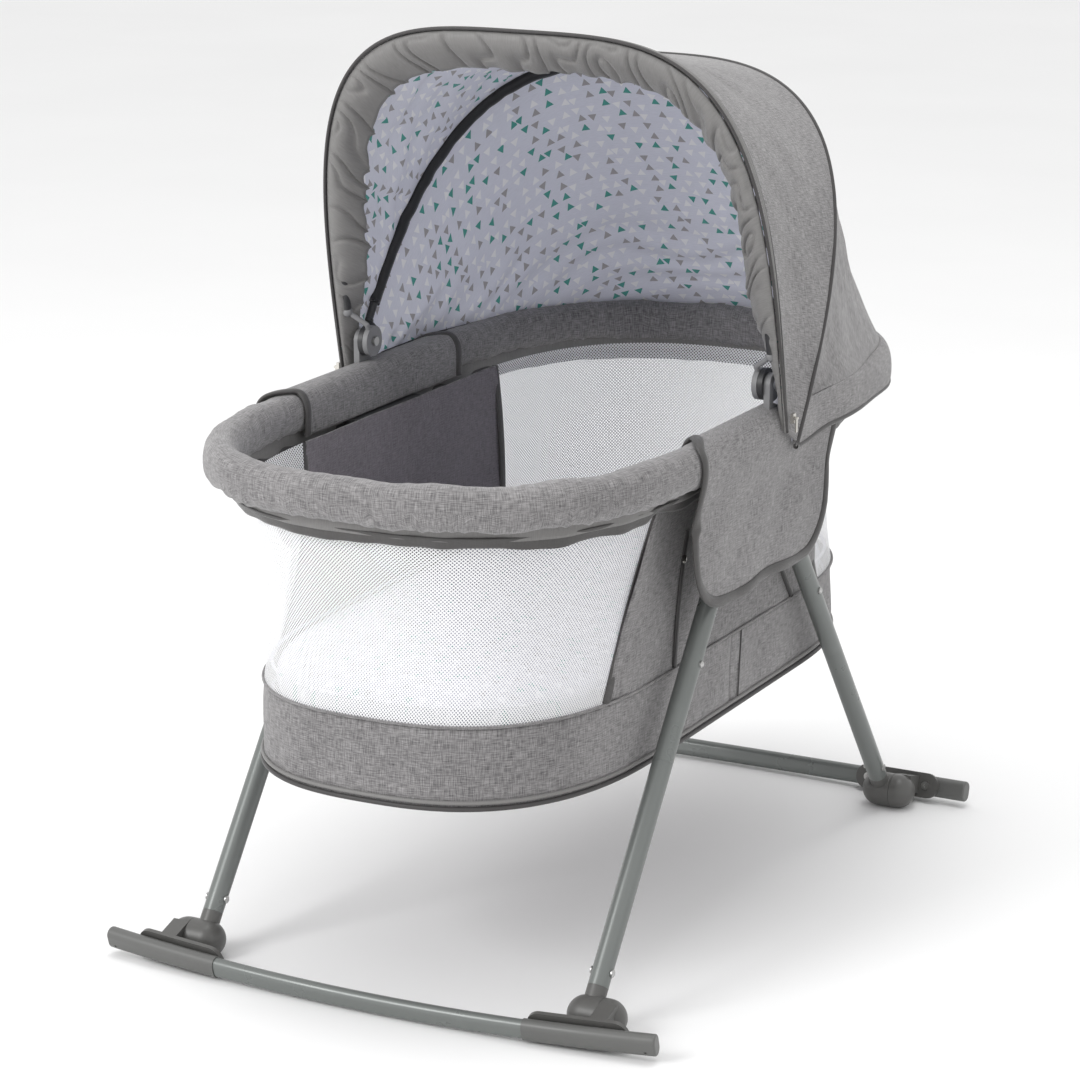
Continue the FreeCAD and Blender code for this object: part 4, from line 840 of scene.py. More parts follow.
@dataclass
class Tub:
    """Cloth tub with its padded rim, flaps, net ends and mattress."""
    finishes: Finishes
    rim: Oval = Oval(0.212, 0.410, 0.4755)
    pad_thick: float = 0.016
    pad_tall: float = 0.0205
    bottom: Oval = Oval(0.177, 0.387, 0.1985)
    seam: Oval = Oval(0.177, 0.383, 0.2725)
    top: Oval = Oval(0.186, 0.398, 0.4545)
    foot_net: tuple[float, float] = (0.251, 0.167)
    head_net: tuple[float, float] = (0.206, 0.206)
    net_draw: float = 0.009
    panel_draw: float = 0.004
    cloth: float = 0.0018
    binding: float = 0.0052
    flap_press: float = 0.0125
    flap_skew: float = 0.030

    def build(self) -> None:
        """Makes every piece of the tub."""
        self.rim_cover()
        self.rim_bands()
        for side in Side:
            self.flap(side)
            self.side_panel(side)
            self.side_details(side)
            self.leg_strip_snap(side)
        for end in End:
            self.net(end)
        self.band()
        self.pipings()
        self.bed()

    def rim_cover(self) -> None:
        """Padded rim: a full section carried round the rim, with soft puckers that fade towards its top."""
        path = self.rim.loop(420)
        out = outward(path)
        ring = section_ring(self.pad_thick, self.pad_tall, 44, 2.35)
        run = run_length(path)[:, None]
        around = run_length(np.column_stack([ring, np.zeros(len(ring))]))[None]
        soft = ripples(run, around, 0.07, 3) * 0.0009 + ripples(run * 2.5, around, 0.03, 4) * 0.0004
        under = smooth((0.35 - ring[:, 1] / self.pad_tall) / 1.3)[None]
        pucker = np.abs(np.sin(run * 160 + 3 * ripples(run, around * 0, 0.05, 5))) * under * 0.0014
        scale = 1 + (soft - pucker) / self.pad_thick
        section = ring[None] * scale[..., None]
        grid = sweep(path, out, np.broadcast_to(UP, path.shape), section, closed=True)
        piece = surface("rim_cover", grid, wrap=True, flip=True)
        finish_piece(piece, self.finishes.heather, "tub")
        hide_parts("front_rim_pad", "rear_rim_pad")

    def rim_bands(self) -> None:
        """Satin band under the rim, and a loose wavy hem below it in dark binding, its darkness partly painted shade
        under the band.
        """
        loop = Oval(0.206, 0.4045, 0.0).loop(480)
        out = outward(loop)
        run = run_length(loop)
        wave = ripples(run, run * 0, 0.06, 11)
        flutter = ripples(run, run * 0, 0.028, 12)
        # The hem is a real hem, but its dark binding colour also stands for painted shade under the rim band.
        for name, high, low, lean, material in (
                ("rim_band", 0.4600, 0.4450, -0.001, self.finishes.trim),
                ("rim_hem_and_shade", 0.4485, 0.4370, -0.005, self.finishes.binding)):
            down = np.linspace(0, 1, 7)[None, :, None]
            drop = (low - high) - (0.0016 * wave + 0.0008 * flutter) * (name == "rim_hem_and_shade")
            reach = lean + (0.0022 * wave + 0.0014 * flutter)
            grid = (loop[:, None] + out[:, None] * (reach[:, None, None] * down)
                    + UP * (high + drop[:, None, None] * down))
            grid = np.concatenate([grid, grid[:1]])
            piece = surface(name, grid, flip=True)
            add_thickness(piece, 0.0012)
            finish_piece(piece, material, "tub")

    def flap_grid(self, side: Side, lift: float = 0.0) -> Array:
        """Saddle over the rim: down the inside, over the top and down the outside, with round lower corners.

        Args:
            side: right or left.
            lift: distance outside the cloth's own face.

        Returns:
            (along, around, 3) points, from the inner edge over the rim to the lower outer edge.
        """
        half, corner, bottom, inner = 0.148, 0.050, 0.3385, 0.4555
        along = np.linspace(-half, half, 121)
        wide, tall = self.pad_thick + 0.0022 + lift, self.pad_tall + 0.0022 + lift
        angle = np.linspace(math.pi, 0, 40)
        over = np.stack([wide * np.sign(np.cos(angle)) * np.abs(np.cos(angle)) ** 0.8,
                         tall * np.sin(angle) ** 0.8], axis=1)
        leg_out = np.linspace(0, 1, 41)[1:]
        past = np.clip(np.abs(along) - (half - corner), 0, corner)
        low = bottom + corner - np.sqrt(corner ** 2 - past ** 2)
        low += 0.0022 * np.sin(along * 42 + side.value) + 0.003 * (np.abs(along) / half) ** 2
        rows = []
        for place, end in zip(along, low):
            inside = np.column_stack([np.full(9, -wide), np.linspace(inner - self.rim.z, 0, 10)[:-1]])
            drop = (end - self.rim.z) * leg_out
            press = self.flap_press * smooth(-drop / 0.065)
            outside = np.column_stack([wide - press, drop])
            rows.append(np.concatenate([inside, over, outside]))
        section = np.array(rows)
        x = side.value * (self.rim.width + section[..., 0])
        passed = smooth((section[..., 0] + 0.010) / 0.026)
        y = along[:, None] - self.flap_skew * passed
        grid = np.stack([x, y, self.rim.z + section[..., 1]], axis=-1)
        fold = ripples(grid[..., 1], grid[..., 2] * 0.6, 0.09, 21 + side.value) * 0.0014
        hang = smooth((self.rim.z - grid[..., 2]) / 0.05)
        grid[..., 0] += side.value * fold * hang
        return grid

    def flap(self, side: Side) -> None:
        """Side flap over the hub with its bound edges."""
        label = side.name.lower()
        grid = self.flap_grid(side)
        piece = surface(f"{label}_flap", grid, flip=side is Side.RIGHT)
        add_thickness(piece, self.cloth)
        finish_piece(piece, self.finishes.heather, "tub")
        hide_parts(f"{label}_side_flap")
        face = normals(grid)
        border = np.concatenate([grid[0, :], grid[1:, -1], grid[-1, -2::-1]])
        look = np.concatenate([face[0, :], face[1:, -1], face[-1, -2::-1]])
        run = run_length(border)
        wave = 0.0002 * np.sin(run * 90)
        edge = even(border, 520)
        look = np.stack([np.interp(run_length(edge), run, look[:, axis]) for axis in range(3)], axis=1)
        edge = edge + look * np.interp(run_length(edge), run, wave)[:, None]
        tape = cord_tube(f"{label}_flap_binding", edge, self.binding, tall=0.0023, facing=look)
        finish_piece(tape, self.finishes.binding, "tub")

    def net_edge(self, end: End, level: Array) -> Array:
        """Distance from the middle to a net's edge, straight from the seam, level 0, to the top, level 1."""
        low, high = self.foot_net if end is End.FOOT else self.head_net
        return low + (high - low) * level

    def end_wall(self, angle: Array, level: Array, end: End) -> Array:
        """Points of a net's wall between the seam and top rings, drawn in most half way up.

        Args:
            angle: angle on the end.
            level: height share from the seam, 0, to the top, 1.
            end: which end.

        Returns:
            Grid of points.
        """
        seam_x, seam_y = self.seam.end_points(angle)
        top_x, top_y = self.top.end_points(angle)
        inward = self.net_draw * 4 * level * (1 - level)
        x = (seam_x * (1 - level) + top_x * level) * (1 - inward / self.seam.width)
        y = seam_y * (1 - level) + top_y * level - inward
        z = self.seam.z + (self.top.z - self.seam.z) * level
        return np.stack([end.value * x, end.value * y, z], axis=-1)

    def side_wall(self, along: Array, level: Array, side: Side) -> Array:
        """Points of a side's wall between the seam and top rings, drawn in most half way up.

        Args:
            along: Y.
            level: height share from the seam, 0, to the top, 1.
            side: which side.

        Returns:
            Grid of points.
        """
        x = self.seam.half_width(along) * (1 - level) + self.top.half_width(along) * level
        x = x - self.panel_draw * 4 * level * (1 - level)
        z = self.seam.z + (self.top.z - self.seam.z) * level
        return np.stack([side.value * x, along, z], axis=-1)

    def net(self, end: End) -> None:
        """Net window at one end, between slanted edges, drawn in as it is stretched."""
        level = np.linspace(0, 1, 33)[None]
        share = np.linspace(0, 1, 141)[:, None]
        start = self.seam.end_angle(self.net_edge(end, level))
        angle = start + share * (math.pi - 2 * start)
        grid = self.end_wall(angle, np.broadcast_to(level, angle.shape), end)
        name = f"{end.name.lower()}_net"
        piece = surface(name, grid)
        finish_piece(piece, self.finishes.net, "tub")
        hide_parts(f"{end.name.lower()}_mesh_window")
        face = normals(grid)
        for row, label in ((0, "one"), (-1, "two")):
            tape = cord_tube(f"{name}_binding_{label}", grid[row] + face[row] * 0.0008, self.binding, tall=0.0014,
                             facing=face[row])
            finish_piece(tape, self.finishes.binding, "tub")

    def side_panel(self, side: Side) -> None:
        """Heather panel between the two net windows on one side."""
        level = np.linspace(0, 1, 29)[None]
        share = np.linspace(0, 1, 121)[:, None]
        along = self.net_edge(End.HEAD, level) * share - self.net_edge(End.FOOT, level) * (1 - share)
        grid = self.side_wall(along, np.broadcast_to(level, along.shape), side)
        grid[..., 0] += side.value * 0.0011 * ripples(grid[..., 1], grid[..., 2], 0.08, 31 + side.value)
        label = side.name.lower()
        piece = surface(f"{label}_panel", grid, flip=side is Side.LEFT)
        add_thickness(piece, self.cloth)
        finish_piece(piece, self.finishes.heather, "tub")
        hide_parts(f"{label}_side_panel")
        inner = grid.copy()
        inner[..., 0] -= side.value * 0.0026
        back = surface(f"{label}_panel_lining", inner, flip=side is Side.RIGHT)
        finish_piece(back, self.finishes.inner, "tub")

    def band(self) -> None:
        """Heather band round the base."""
        level = np.linspace(0, 1, 15)[:, None]
        low, high = self.bottom.loop(400), self.seam.loop(400)
        out = outward(low)
        run = run_length(low)
        grid = low[:, None] * (1 - level.T[..., None]) + high[:, None] * level.T[..., None]
        soft = ripples(run[:, None], level.T * 0.07, 0.09, 41) * 0.0016 * np.sin(math.pi * level.T)
        grid = grid + out[:, None] * soft[..., None]
        grid = np.concatenate([grid, grid[:1]])
        piece = surface("lower_band", grid)
        add_thickness(piece, self.cloth)
        finish_piece(piece, self.finishes.heather, "tub")
        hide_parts("tub_lower_band")

    def pipings(self) -> None:
        """Double piping at the bottom and single piping at the seam."""
        rows = (("bottom_piping_low", self.bottom, 0.1995, 0.0023, self.finishes.piping),
                ("bottom_piping_high", self.bottom, 0.2052, 0.0019, self.finishes.trim),
                ("seam_piping", self.seam, 0.2728, 0.0013, self.finishes.heather))
        for name, ring, height, radius, material in rows:
            loop = ring.loop(360)
            path = loop + outward(loop) * 0.001
            path[:, 2] = height
            piece = cord_tube(name, path, radius, closed=True)
            finish_piece(piece, material, "tub")

    def side_line(self, name: str, side: Side, start: tuple[float, float], end: tuple[float, float],
                  half_width: float, thick: float, material: bpy.types.Material) -> None:
        """Tape or seam on a side of the tub, straight between two places given as Y and Z.

        Args:
            name: name of the piece.
            side: which side.
            start: first end.
            end: second end.
            half_width: half its width.
            thick: half its thickness.
            material: its finish.
        """
        share = np.linspace(0, 1, 40)
        along = start[0] + (end[0] - start[0]) * share
        height = start[1] + (end[1] - start[1]) * share
        level = np.clip((height - self.seam.z) / (self.top.z - self.seam.z), 0, 1)
        path = self.side_wall(along, level, side)
        path[:, 2] = height
        path[:, 0] += side.value * 0.0012
        look = np.broadcast_to(ACROSS * side.value, path.shape)
        piece = cord_tube(name, path, half_width, tall=thick, facing=look)
        finish_piece(piece, material, "tub")

    def side_details(self, side: Side) -> None:
        """Dark strips beside the legs, each a panel edge darkened with painted shade of the recess the leg lies in,
        and the upright seam of the band.
        """
        label = side.name.lower()
        # Front and rear strips: panel edges darkened as painted shade of the recesses the legs lie in.
        self.side_line(f"{label}_front_slit", side, (-0.108, 0.400), (-0.127, 0.2745), 0.0036, 0.0016,
                       self.finishes.piping)
        self.side_line(f"{label}_rear_slit", side, (0.092, 0.340), (0.141, 0.2745), 0.0036, 0.0016,
                       self.finishes.piping)
        self.side_line(f"{label}_band_seam", side, (0.022, 0.271), (0.015, 0.204), 0.0008, 0.0006,
                       self.finishes.piping)

    def leg_strip_snap(self, side: Side) -> None:
        """Small nickel snap at the top of the front dark strip: a low dome turned about its own axis."""
        radius, rise = 0.0042, 0.0018
        level = np.array((0.374 - self.seam.z) / (self.top.z - self.seam.z))
        centre = self.side_wall(np.array(-0.113), level, side)
        turn = np.linspace(0, math.tau, 24, endpoint=False)[None]
        share = np.linspace(0.08, 1, 9)[:, None]
        out = rise * np.sqrt(np.maximum(1 - share ** 2, 0)) + 0.0022
        grid = np.stack([side.value * out + 0 * turn, radius * share * np.cos(turn),
                         radius * share * np.sin(turn)], axis=-1) + centre
        piece = surface(f"{side.name.lower()}_slit_snap", grid, wrap=True, caps=True, flip=side is Side.LEFT)
        finish_piece(piece, self.finishes.nickel, "tub")

    def slab(self, name: str, width: float, length: float, low: float, high: float, edge: float,
             crown: float) -> bpy.types.Object:
        """Oval slab with rounded edges and a crowned top.

        Rings shrink from the edge to a point in the middle; the top rises by crown * (1 - share^2).

        Args:
            name: name of the piece.
            width: half width.
            length: half length.
            low: height of its underside.
            high: height of its top at the edge.
            edge: radius of its edges.
            crown: rise of the top in the middle.

        Returns:
            The slab.
        """
        share = np.linspace(0.02, 1, 22)
        turn = np.linspace(-math.pi / 2, math.pi / 2, 13)
        rows = [(part, 0.0, low) for part in share[:-1]]
        side_z = np.where(turn < 0, low + edge, high - edge) + edge * np.sin(turn)
        rows += [(1.0, -edge * (1 - math.cos(a)), z) for a, z in zip(turn, side_z)]
        rows += [(part, 0.0, high + crown * (1 - part ** 2)) for part in share[-2::-1]]
        rings = []
        for part, inset, height in rows:
            rim = edge + inset if part == 1.0 else 0.0
            ring = Oval((width - edge) * part + rim, (length - edge) * part + rim, height, 0.150 * part)
            rings.append(ring.loop(180))
        grid = np.array(rings)
        return surface(name, grid, wrap=True, caps=True, flip=True)

    def bed(self) -> None:
        """Cloth base, padded board and mattress in its printed sheet."""
        low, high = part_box("tub_floor")
        base = self.slab("tub_base", float(high[0]), float(high[1]), float(low[2]), float(high[2]), 0.0009, 0.0)
        finish_piece(base, self.finishes.inner, "tub")
        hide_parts("tub_floor")
        low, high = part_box("base_board")
        board = self.slab("board_pad", float(high[0]), float(high[1]), float(low[2]), float(high[2]), 0.006, 0.0)
        finish_piece(board, self.finishes.inner, "tub")
        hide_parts("base_board")
        low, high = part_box("mattress")
        bed = self.slab("mattress_pad", float(high[0]), float(high[1]), float(low[2]), float(high[2]), 0.012, 0.0045)
        swell(bed, 0.008, 0.006)
        finish_piece(bed, self.finishes.bedding, "tub")
        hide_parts("mattress")
        low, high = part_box("mattress")
        for name, height in (("mattress_piping_low", float(low[2]) + 0.006),
                             ("mattress_piping_high", float(high[2]) - 0.004)):
            path = Oval(float(high[0]) - 0.0015, float(high[1]) - 0.0015, height).loop(300)
            piece = cord_tube(name, path, 0.0016, closed=True)
            finish_piece(piece, self.finishes.bedding, "tub")


def swell(piece: bpy.types.Object, voxel: float, cap: float) -> None:
    """Swells a pad by cloth simulation: remeshed, blown up with gravity off, and held within a cap.

    Args:
        piece: closed pad; its mesh is replaced.
        voxel: size of the new mesh's cells.
        cap: farthest that a point may move.
    """
    remesh = piece.modifiers.new("remesh", "REMESH")
    remesh.mode = "VOXEL"
    remesh.voxel_size = voxel
    apply_modifier(piece, "remesh")
    before = mesh_points(piece)
    cloth = piece.modifiers.new("cloth", "CLOTH")
    cloth.settings.use_pressure = True
    cloth.settings.uniform_pressure_force = 4
    cloth.settings.effector_weights.gravity = 0
    cloth.point_cache.frame_start, cloth.point_cache.frame_end = 1, 14
    for step in range(1, 15):
        bpy.context.scene.frame_set(step)
    apply_modifier(piece, "cloth")
    moved = mesh_points(piece) - before
    length = np.linalg.norm(moved, axis=1, keepdims=True)
    held = before + moved * np.minimum(1, cap / np.maximum(length, 1e-9))
    piece.data.vertices.foreach_set("co", held.reshape(-1).astype(np.float32))
    bpy.context.scene.frame_set(1)
    piece.data.polygons.foreach_set("use_smooth", np.ones(len(piece.data.polygons), dtype=bool))
    subdivide = piece.modifiers.new("smoothing", "SUBSURF")
    subdivide.levels = subdivide.render_levels = 1
    piece.data.update()


def mesh_points(piece: bpy.types.Object) -> Array:
    """Vertices of a piece as an (n, 3) array."""
    flat = np.empty(len(piece.data.vertices) * 3, dtype=np.float32)
    piece.data.vertices.foreach_get("co", flat)
    return flat.reshape(-1, 3).astype(float)


def apply_modifier(piece: bpy.types.Object, name: str) -> None:
    """Applies one modifier of a piece."""
    with bpy.context.temp_override(object=piece, active_object=piece, selected_objects=[piece]):
        bpy.ops.object.modifier_apply(modifier=name)


# ---------------------------------------------------------------- canopy
@dataclass(frozen=True)
class Arch:
    """Bow-shaped line in a leaning plane: x = width cos^(2/power), rise = height sin^(2/power)."""
    base_y: float
    base_z: float
    lean: float
    width: float
    height: float
    power: float

    def points(self, count: int, inset: float = 0.0, start: float = 0.0) -> Array:
        """Evenly spaced points from the right foot to the left.

        Args:
            count: number of points.
            inset: distance inside the arch.
            start: angle at which the feet are cut, in radians.

        Returns:
            (count, 3) points.
        """
        angle = np.linspace(start, math.pi - start, 601)
        across = (self.width - inset) * np.sign(np.cos(angle)) * np.abs(np.cos(angle)) ** (2 / self.power)
        rise = (self.height - inset) * np.abs(np.sin(angle)) ** (2 / self.power)
        lean = math.radians(self.lean)
        points = np.stack([across, self.base_y - rise * math.sin(lean), self.base_z + rise * math.cos(lean)], axis=1)
        return even(points, count)


@dataclass
class Canopy:
    """Folding canopy: outer cloth, lining, facing, piping, zip and skirt."""
    finishes: Finishes
    front: Arch = Arch(-0.011, 0.4765, 12.1, 0.234, 0.370, 3.7)
    seam: Arch = Arch(0.002, 0.4645, -32.7, 0.239, 0.379, 3.0)
    pivot: tuple[float, float] = (-0.006, 0.5185)
    skirt_start: float = 0.012
    rim: Oval = Oval(0.212, 0.410, 0.4755)
    pad_half: tuple[float, float] = (0.0195, 0.0245)
    flap_out: float = 0.0212
    skirt_top: float = 1.22
    skirt_low: float = -0.50
    count: int = 220

    def build(self) -> None:
        """Makes every piece of the canopy."""
        self.front_cloth()
        self.front_lining()
        self.facing()
        self.front_edges()
        self.seam_piping()
        self.middle_sleeve()
        self.rear_cloth()
        self.skirt()
        for name in ("right_canopy_post", "left_canopy_post", "front_bow_arms"):
            keep_node(name, self.finishes.joint)
        for name in ("canopy_front_bow", "canopy_middle_bow"):
            keep_node(name, self.finishes.rod)
        for name in ("zip_sliders", "right_zip_pull", "left_zip_pull"):
            keep_node(name, self.finishes.nickel)
        keep_node("canopy_joint_screws", self.finishes.steel)

    def radial(self, grid: Array) -> Array:
        """Unit vectors out of the canopy, square to the pivot axis at the crown and sideways at its feet."""
        centre = np.array([0.0, 0.06, 0.50])
        out = (grid - centre) * np.array([1.0, 0.75, 0.9])
        return out / np.linalg.norm(out, axis=-1, keepdims=True)

    def fold(self, piece: bpy.types.Object, first: str, second: str, low_lean: float, high_lean: float,
             reach: float) -> None:
        """Bakes a cloth's placement into its mesh and logs the two bodies it lies between.

        Args:
            piece: the cloth.
            first: body of the edge nearer the foot end, or the tub.
            second: body of the other edge.
            low_lean: first edge's lean towards the foot end, in degrees; not used.
            high_lean: second edge's lean; not used.
            reach: width of the part meant to bend; not used.
        """
        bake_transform(piece)
        log.info("made %s between %s and %s", piece.name, first, second)

    def dress(self, piece: bpy.types.Object, material: bpy.types.Material) -> None:
        """Material of a cloth that lies between bodies."""
        piece.data.materials.clear()
        piece.data.materials.append(material)

    def front_grid(self, inset: float, low: float, high: float, sag: float, rows: int) -> Array:
        """Cloth between the front edge and the seam: straight between them, drawn in half way.

        Args:
            inset: distance inside the outer face.
            low: share of the way to the seam where it starts.
            high: share where it ends.
            sag: inward draw half way.
            rows: points from front to seam.

        Returns:
            (count, rows, 3) points.
        """
        first = self.front.points(self.count, inset)[:, None]
        last = self.seam.points(self.count, inset)[:, None]
        share = np.linspace(low, high, rows)[None, :, None]
        grid = first * (1 - share) + last * share
        feet = np.sin(np.linspace(0, math.pi, self.count))[:, None, None] ** 0.5
        return grid - self.radial(grid) * (sag * 4 * share * (1 - share) * feet)

    def front_cloth(self) -> None:
        """Outer heather cloth between the front edge and the seam, with slight wrinkles."""
        grid = self.front_grid(0.0, 0.0, 1.0, 0.006, 46)
        run = run_length(grid[:, 0])[:, None]
        across = run_length(grid)
        wrinkle = ripples(run, across, 0.10, 51) * 0.0014 + ripples(run * 0.5, across, 0.04, 52) * 0.0006
        fade = np.sin(np.linspace(0, math.pi, 46))[None] ** 0.5
        grid = grid + self.radial(grid) * (wrinkle * fade)[..., None]
        piece = surface("canopy_front_cloth", grid)
        add_thickness(piece, 0.0014)
        self.dress(piece, self.finishes.heather)
        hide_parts("canopy_front_panel")
        self.fold(piece, "canopy_front", "canopy_middle", self.front.lean, self.seam.lean, 0.20)

    def front_lining(self) -> None:
        """Printed lining behind the facing, puckered where it is gathered into it."""
        rows = 60
        grid = self.front_grid(0.0034, 0.04, 1.0, 0.006, rows)[6:-6]
        run = run_length(grid[:, 0])[:, None]
        across = run_length(grid)
        near = np.exp(-across / 0.045)
        pucker = np.sin(run * 190 + 2.2 * ripples(run, across, 0.05, 61)) * 0.0036 * near
        drape = ripples(run, across, 0.06, 62) * 0.0030
        hold = smooth(np.linspace(1, 0, rows)[None] * 4)
        grid = grid + self.radial(grid) * ((pucker + drape - 0.002) * hold)[..., None]
        piece = surface("canopy_front_lining", grid, flip=True)
        self.dress(piece, self.finishes.lining)
        self.fold(piece, "canopy_front", "canopy_middle", self.front.lean, self.seam.lean, 0.20)

    def facing(self) -> None:
        """Satin facing inside the front edge: a soft channel with gathers at its inner edge."""
        rows = 21
        depth, tuck, bulge = 0.0350, 0.016, 0.0065
        count = self.count * 4
        first = self.front.points(count, 0.0016)[:, None]
        inner = self.front.points(count, 0.032)[:, None]
        last = self.seam.points(count, 0.0016)[:, None]
        toward = (last - first) / np.linalg.norm(last - first, axis=-1, keepdims=True)
        into = (inner - first) / np.maximum(np.linalg.norm(inner - first, axis=-1, keepdims=True), 1e-9)
        share = np.linspace(0, 1, rows)[None, :, None]
        run = run_length(first[:, 0])[:, None, None]
        loose = ripples(run, share * 0.03, 0.05, 71)
        crease = (1 - np.abs(np.sin(run * 105 + 2.8 * loose + 0.5 * share))) ** 2.5
        gather = (0.0014 * loose - 0.0100 * crease) * share ** 0.8
        edge = 0.0022 * ripples(run, run * 0, 0.045, 73) * share ** 2
        taper = 0.30 + 0.70 * smooth((first[..., 2:] - 0.505) / 0.13)
        front_bulge = (bulge * np.sin(math.pi * share ** 0.85) + gather) * taper
        grid = first + into * (depth * share + edge) * taper + toward * (tuck * share ** 2 - front_bulge)
        piece = surface("canopy_facing", grid, flip=True)
        add_thickness(piece, 0.0011, 1.0)
        self.dress(piece, self.finishes.trim)
        self.fold(piece, "canopy_front", "canopy_middle", self.front.lean, self.seam.lean, 0.20)

    def front_edges(self) -> None:
        """Dark piping on the front edge and the two lines of zip tape just behind it."""
        outer = self.front_grid(-0.0008, 0.0, 0.085, 0.0, 9)
        rows = (("canopy_edge_piping", 0, 0.0017, 0.0017, self.finishes.piping),
                ("zip_tape", 3, 0.0038, 0.0006, self.finishes.trim),
                ("zip_teeth", 5, 0.0015, 0.0013, self.finishes.piping))
        for name, column, wide, tall, material in rows:
            line = outer[:, column]
            piece = cord_tube(name, line, wide, tall=tall, facing=self.radial(line))
            self.dress(piece, material)
            self.fold(piece, "canopy_front", "canopy_middle", self.front.lean, self.seam.lean, 0.20)

    def seam_piping(self) -> None:
        """Dark piping along the middle seam."""
        path = self.seam.points(self.count, -0.0012)
        piece = cord_tube("canopy_seam_piping", path, 0.0022)
        finish_piece(piece, self.finishes.piping, "canopy_middle")

    def middle_sleeve(self) -> None:
        """Black cloth sleeve round the middle bow, inside the lining."""
        base = np.array([0.0, 0.008, 0.505])
        crown = self.seam.points(3)[1]
        reach = crown - base
        lean = -math.degrees(math.atan2(reach[1], reach[2]))
        rod = Arch(base[1], base[2], lean, self.seam.width - 0.011, float(np.linalg.norm(reach)) - 0.011,
                   self.seam.power)
        path = rod.points(260, start=0.06)
        out = self.radial(path)
        wrinkle = 0.0005 * ripples(run_length(path), run_length(path) * 0, 0.02, 81)
        piece = cord_tube("middle_bow_sleeve", path + out * wrinkle[:, None], 0.0074, tall=0.0054, facing=out)
        finish_piece(piece, self.finishes.webbing, "canopy_middle")

    def rim_line(self, turn: float, inset: float = 0.0) -> Array:
        """Line round the head end at one angle of the pad's section, outside the flaps along the sides.

        Along the sides it stands flap_out from the rim's centre line; round the end it follows the pad.

        Args:
            turn: angle on the section in radians, a quarter turn at its top.
            inset: distance inside.

        Returns:
            (count, 3) points from the right side to the left.
        """
        x, y = self.rim.end_points(np.linspace(0, math.pi, 601))
        side = np.linspace(self.skirt_start, self.rim.straight, 40)[:-1]
        x = np.concatenate([np.full(39, self.rim.width), x, np.full(39, -self.rim.width)])
        y = np.concatenate([side, y, side[::-1]])
        path = even(np.column_stack([x, y, np.full(len(x), self.rim.z)]), self.count)
        out = np.cross(tangents(path, False), UP)
        wide, tall = self.pad_half
        on_pad = wide * abs(math.cos(turn)) ** 0.85
        share = smooth((path[:, 1] - 0.13) / 0.12)
        reach = self.flap_out * (1 - share) + on_pad * share - inset
        rise = tall * math.copysign(abs(math.sin(turn)) ** 0.85, turn) - inset
        tip = 0.004 * (1 - smooth((path[:, 1] - 0.03) / 0.07)) * (turn < 0)
        return path + out * reach[:, None] + UP * (rise - tip)[:, None]

    def rear_grid(self, inset: float, rows: int, sag: float) -> Array:
        """Cloth from the seam down to the rim, drawn in on the way.

        Args:
            inset: distance inside the outer face.
            rows: points from seam to rim.
            sag: inward draw.

        Returns:
            (count, rows, 3) points.
        """
        first = self.seam.points(self.count, inset)[:, None]
        last = self.rim_line(self.skirt_top, inset)[:, None]
        share = np.linspace(0, 1, rows)[None, :, None]
        grid = first * (1 - share) + last * share
        across = np.linspace(0, math.pi, self.count)[:, None, None]
        draw = sag * np.sin(math.pi * share ** 1.3) * np.sin(across) ** 0.7
        return grid - self.radial(grid) * draw

    def rear_cloth(self) -> None:
        """Outer rear cloth and its printed lining."""
        for name, inset, sag, material, slot, seed, flip in (
                ("canopy_rear_cloth", 0.0, 0.012, self.finishes.heather, "heather_fabric", 91, False),
                ("canopy_rear_lining", 0.0042, 0.014, self.finishes.lining, "lining", 95, True)):
            rows = 60
            grid = self.rear_grid(inset, rows, sag)
            run = run_length(grid[:, 0])[:, None]
            across = run_length(grid)
            wrinkle = ripples(run, across, 0.12, seed) * 0.0022 + ripples(run * 1.6, across * 0.5, 0.05, seed + 1) * 0.0009
            fade = np.sin(np.linspace(0, math.pi, rows))[None] ** 0.6
            low = smooth((np.linspace(0, 1, rows)[None] - 0.45) / 0.4) * flip
            slack = 0.0034 * low * np.sin(across * 150 + 2.4 * ripples(run * 0.5, across, 0.12, seed + 2))
            grid = grid + self.radial(grid) * ((wrinkle + slack) * fade)[..., None]
            piece = surface(name, grid, flip=flip)
            if not flip:
                add_thickness(piece, 0.0014)
                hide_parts("canopy_rear_panel")
            self.dress(piece, material)
            self.fold(piece, "tub", "canopy_middle", -90.0, self.seam.lean, 0.26)

    def skirt(self) -> None:
        """Lower edge of the canopy, draped over the head end of the rim and drawn under it."""
        rows = 22
        profile = np.linspace(0, 1, rows)
        turns = self.skirt_top + (self.skirt_low - self.skirt_top) * profile
        lines = [self.rim_line(float(turn)) for turn in turns]
        grid = np.stack(lines, axis=1)
        run = run_length(grid[:, 0])[:, None]
        crease = ripples(run, profile[None] * 0.05, 0.09, 101) * 0.0013
        grid = grid + self.radial(grid) * (crease * smooth(profile * 2.5)[None])[..., None]
        piece = surface("canopy_skirt", grid)
        add_thickness(piece, 0.0014)
        finish_piece(piece, self.finishes.heather, "tub")
        hem = cord_tube("canopy_skirt_hem", grid[:, -1], 0.0027)
        finish_piece(hem, self.finishes.piping, "tub")


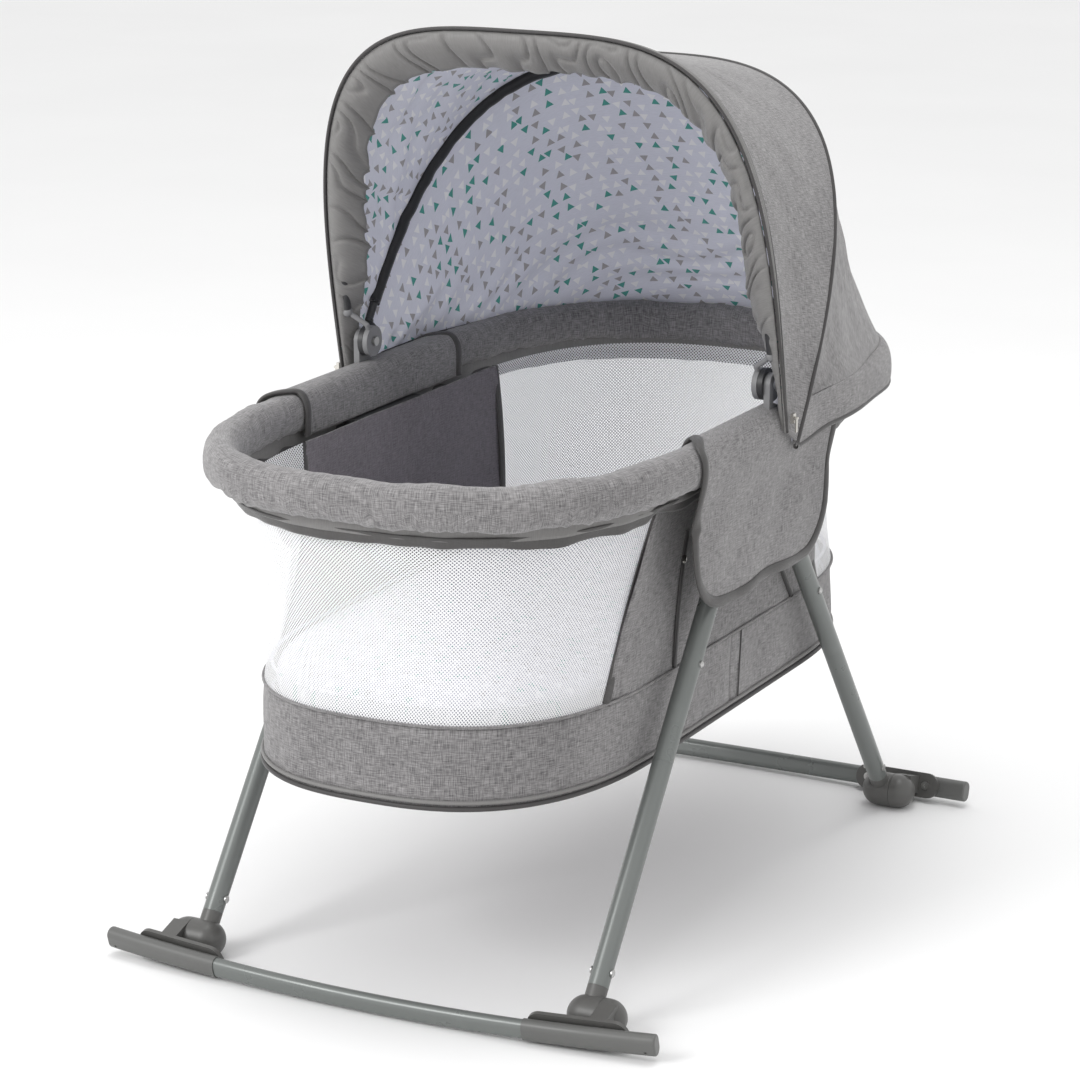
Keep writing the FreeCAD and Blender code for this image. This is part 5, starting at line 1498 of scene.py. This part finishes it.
# ---------------------------------------------------------------- studio
@dataclass
class Studio:
    """Pale floor, soft lights and the camera."""
    azimuth: float = 27.23
    elevation: float = 15.11
    distance: float = 3.469
    target: tuple[float, float, float] = (-0.0254, 0.0, 0.3391)
    lens: float = 120.13

    def build(self) -> None:
        """Makes the studio."""
        self.floor()
        self.lights()
        self.camera()

    def floor(self) -> None:
        """Plain pale floor: a flat square reaching far out."""
        mesh = bpy.data.meshes.new("floor")
        reach = 12.0
        mesh.from_pydata([(-reach, -reach, 0), (reach, -reach, 0), (reach, reach, 0), (-reach, reach, 0)], [],
                         [(0, 1, 2, 3)])
        piece = bpy.data.objects.new("floor", mesh)
        bpy.context.scene.collection.objects.link(piece)
        finish = Finish("pale floor")
        cloud = CLOUD.place(finish.nodes, finish.place(), Size=0.6)["Cloud"]
        finish.set(Base_Color=finish.nodes.mix(cloud, colour(0.88, 0.88, 0.88), colour(0.9, 0.9, 0.9)),
                   Roughness=0.7)
        piece.data.materials.append(finish.material)

    def area(self, name: str, place: tuple[float, float, float], size: float, power: float) -> None:
        """Soft square light that looks at the bassinet.

        Args:
            name: name of the light.
            place: where it stands.
            size: side length.
            power: watts.
        """
        data = bpy.data.lights.new(name, "AREA")
        data.size = size
        data.energy = power
        lamp = bpy.data.objects.new(name, data)
        lamp.location = place
        lamp.rotation_euler = (Vector((0, 0, 0.45)) - Vector(place)).to_track_quat("-Z", "Y").to_euler()
        bpy.context.scene.collection.objects.link(lamp)

    def lights(self) -> None:
        """Even white surroundings with a soft key light from the upper left and a weaker fill."""
        world = bpy.data.worlds.new("studio")
        world.use_nodes = True
        world.node_tree.nodes["Background"].inputs["Color"].default_value = colour(1.0, 1.0, 1.0)
        world.node_tree.nodes["Background"].inputs["Strength"].default_value = 0.94
        bpy.context.scene.world = world
        self.area("key", (-1.6, -2.9, 2.2), 1.5, 60)
        self.area("top", (0.0, 0.2, 3.4), 1.6, 34)
        self.area("fill", (2.8, -1.2, 1.2), 2.0, 2)

    def camera(self) -> None:
        """Camera round the target at its azimuth and elevation."""
        turn, rise = math.radians(self.azimuth), math.radians(self.elevation)
        back = Vector((math.sin(turn) * math.cos(rise), -math.cos(turn) * math.cos(rise), math.sin(rise)))
        data = bpy.data.cameras.new("camera")
        data.lens = self.lens
        data.sensor_width = 36.0
        camera = bpy.data.objects.new("camera", data)
        camera.location = Vector(self.target) + back * self.distance
        camera.rotation_euler = (-back).to_track_quat("-Z", "Y").to_euler()
        bpy.context.scene.collection.objects.link(camera)
        bpy.context.scene.camera = camera
        bpy.context.scene.view_settings.view_transform = "Standard"


def main() -> None:
    """Builds the studio and the bassinet in order."""
    Studio().build()
    finishes = Finishes()
    Stand(finishes).build()
    Tub(finishes).build()
    Canopy(finishes).build()


if __name__ == "__main__":
    main()
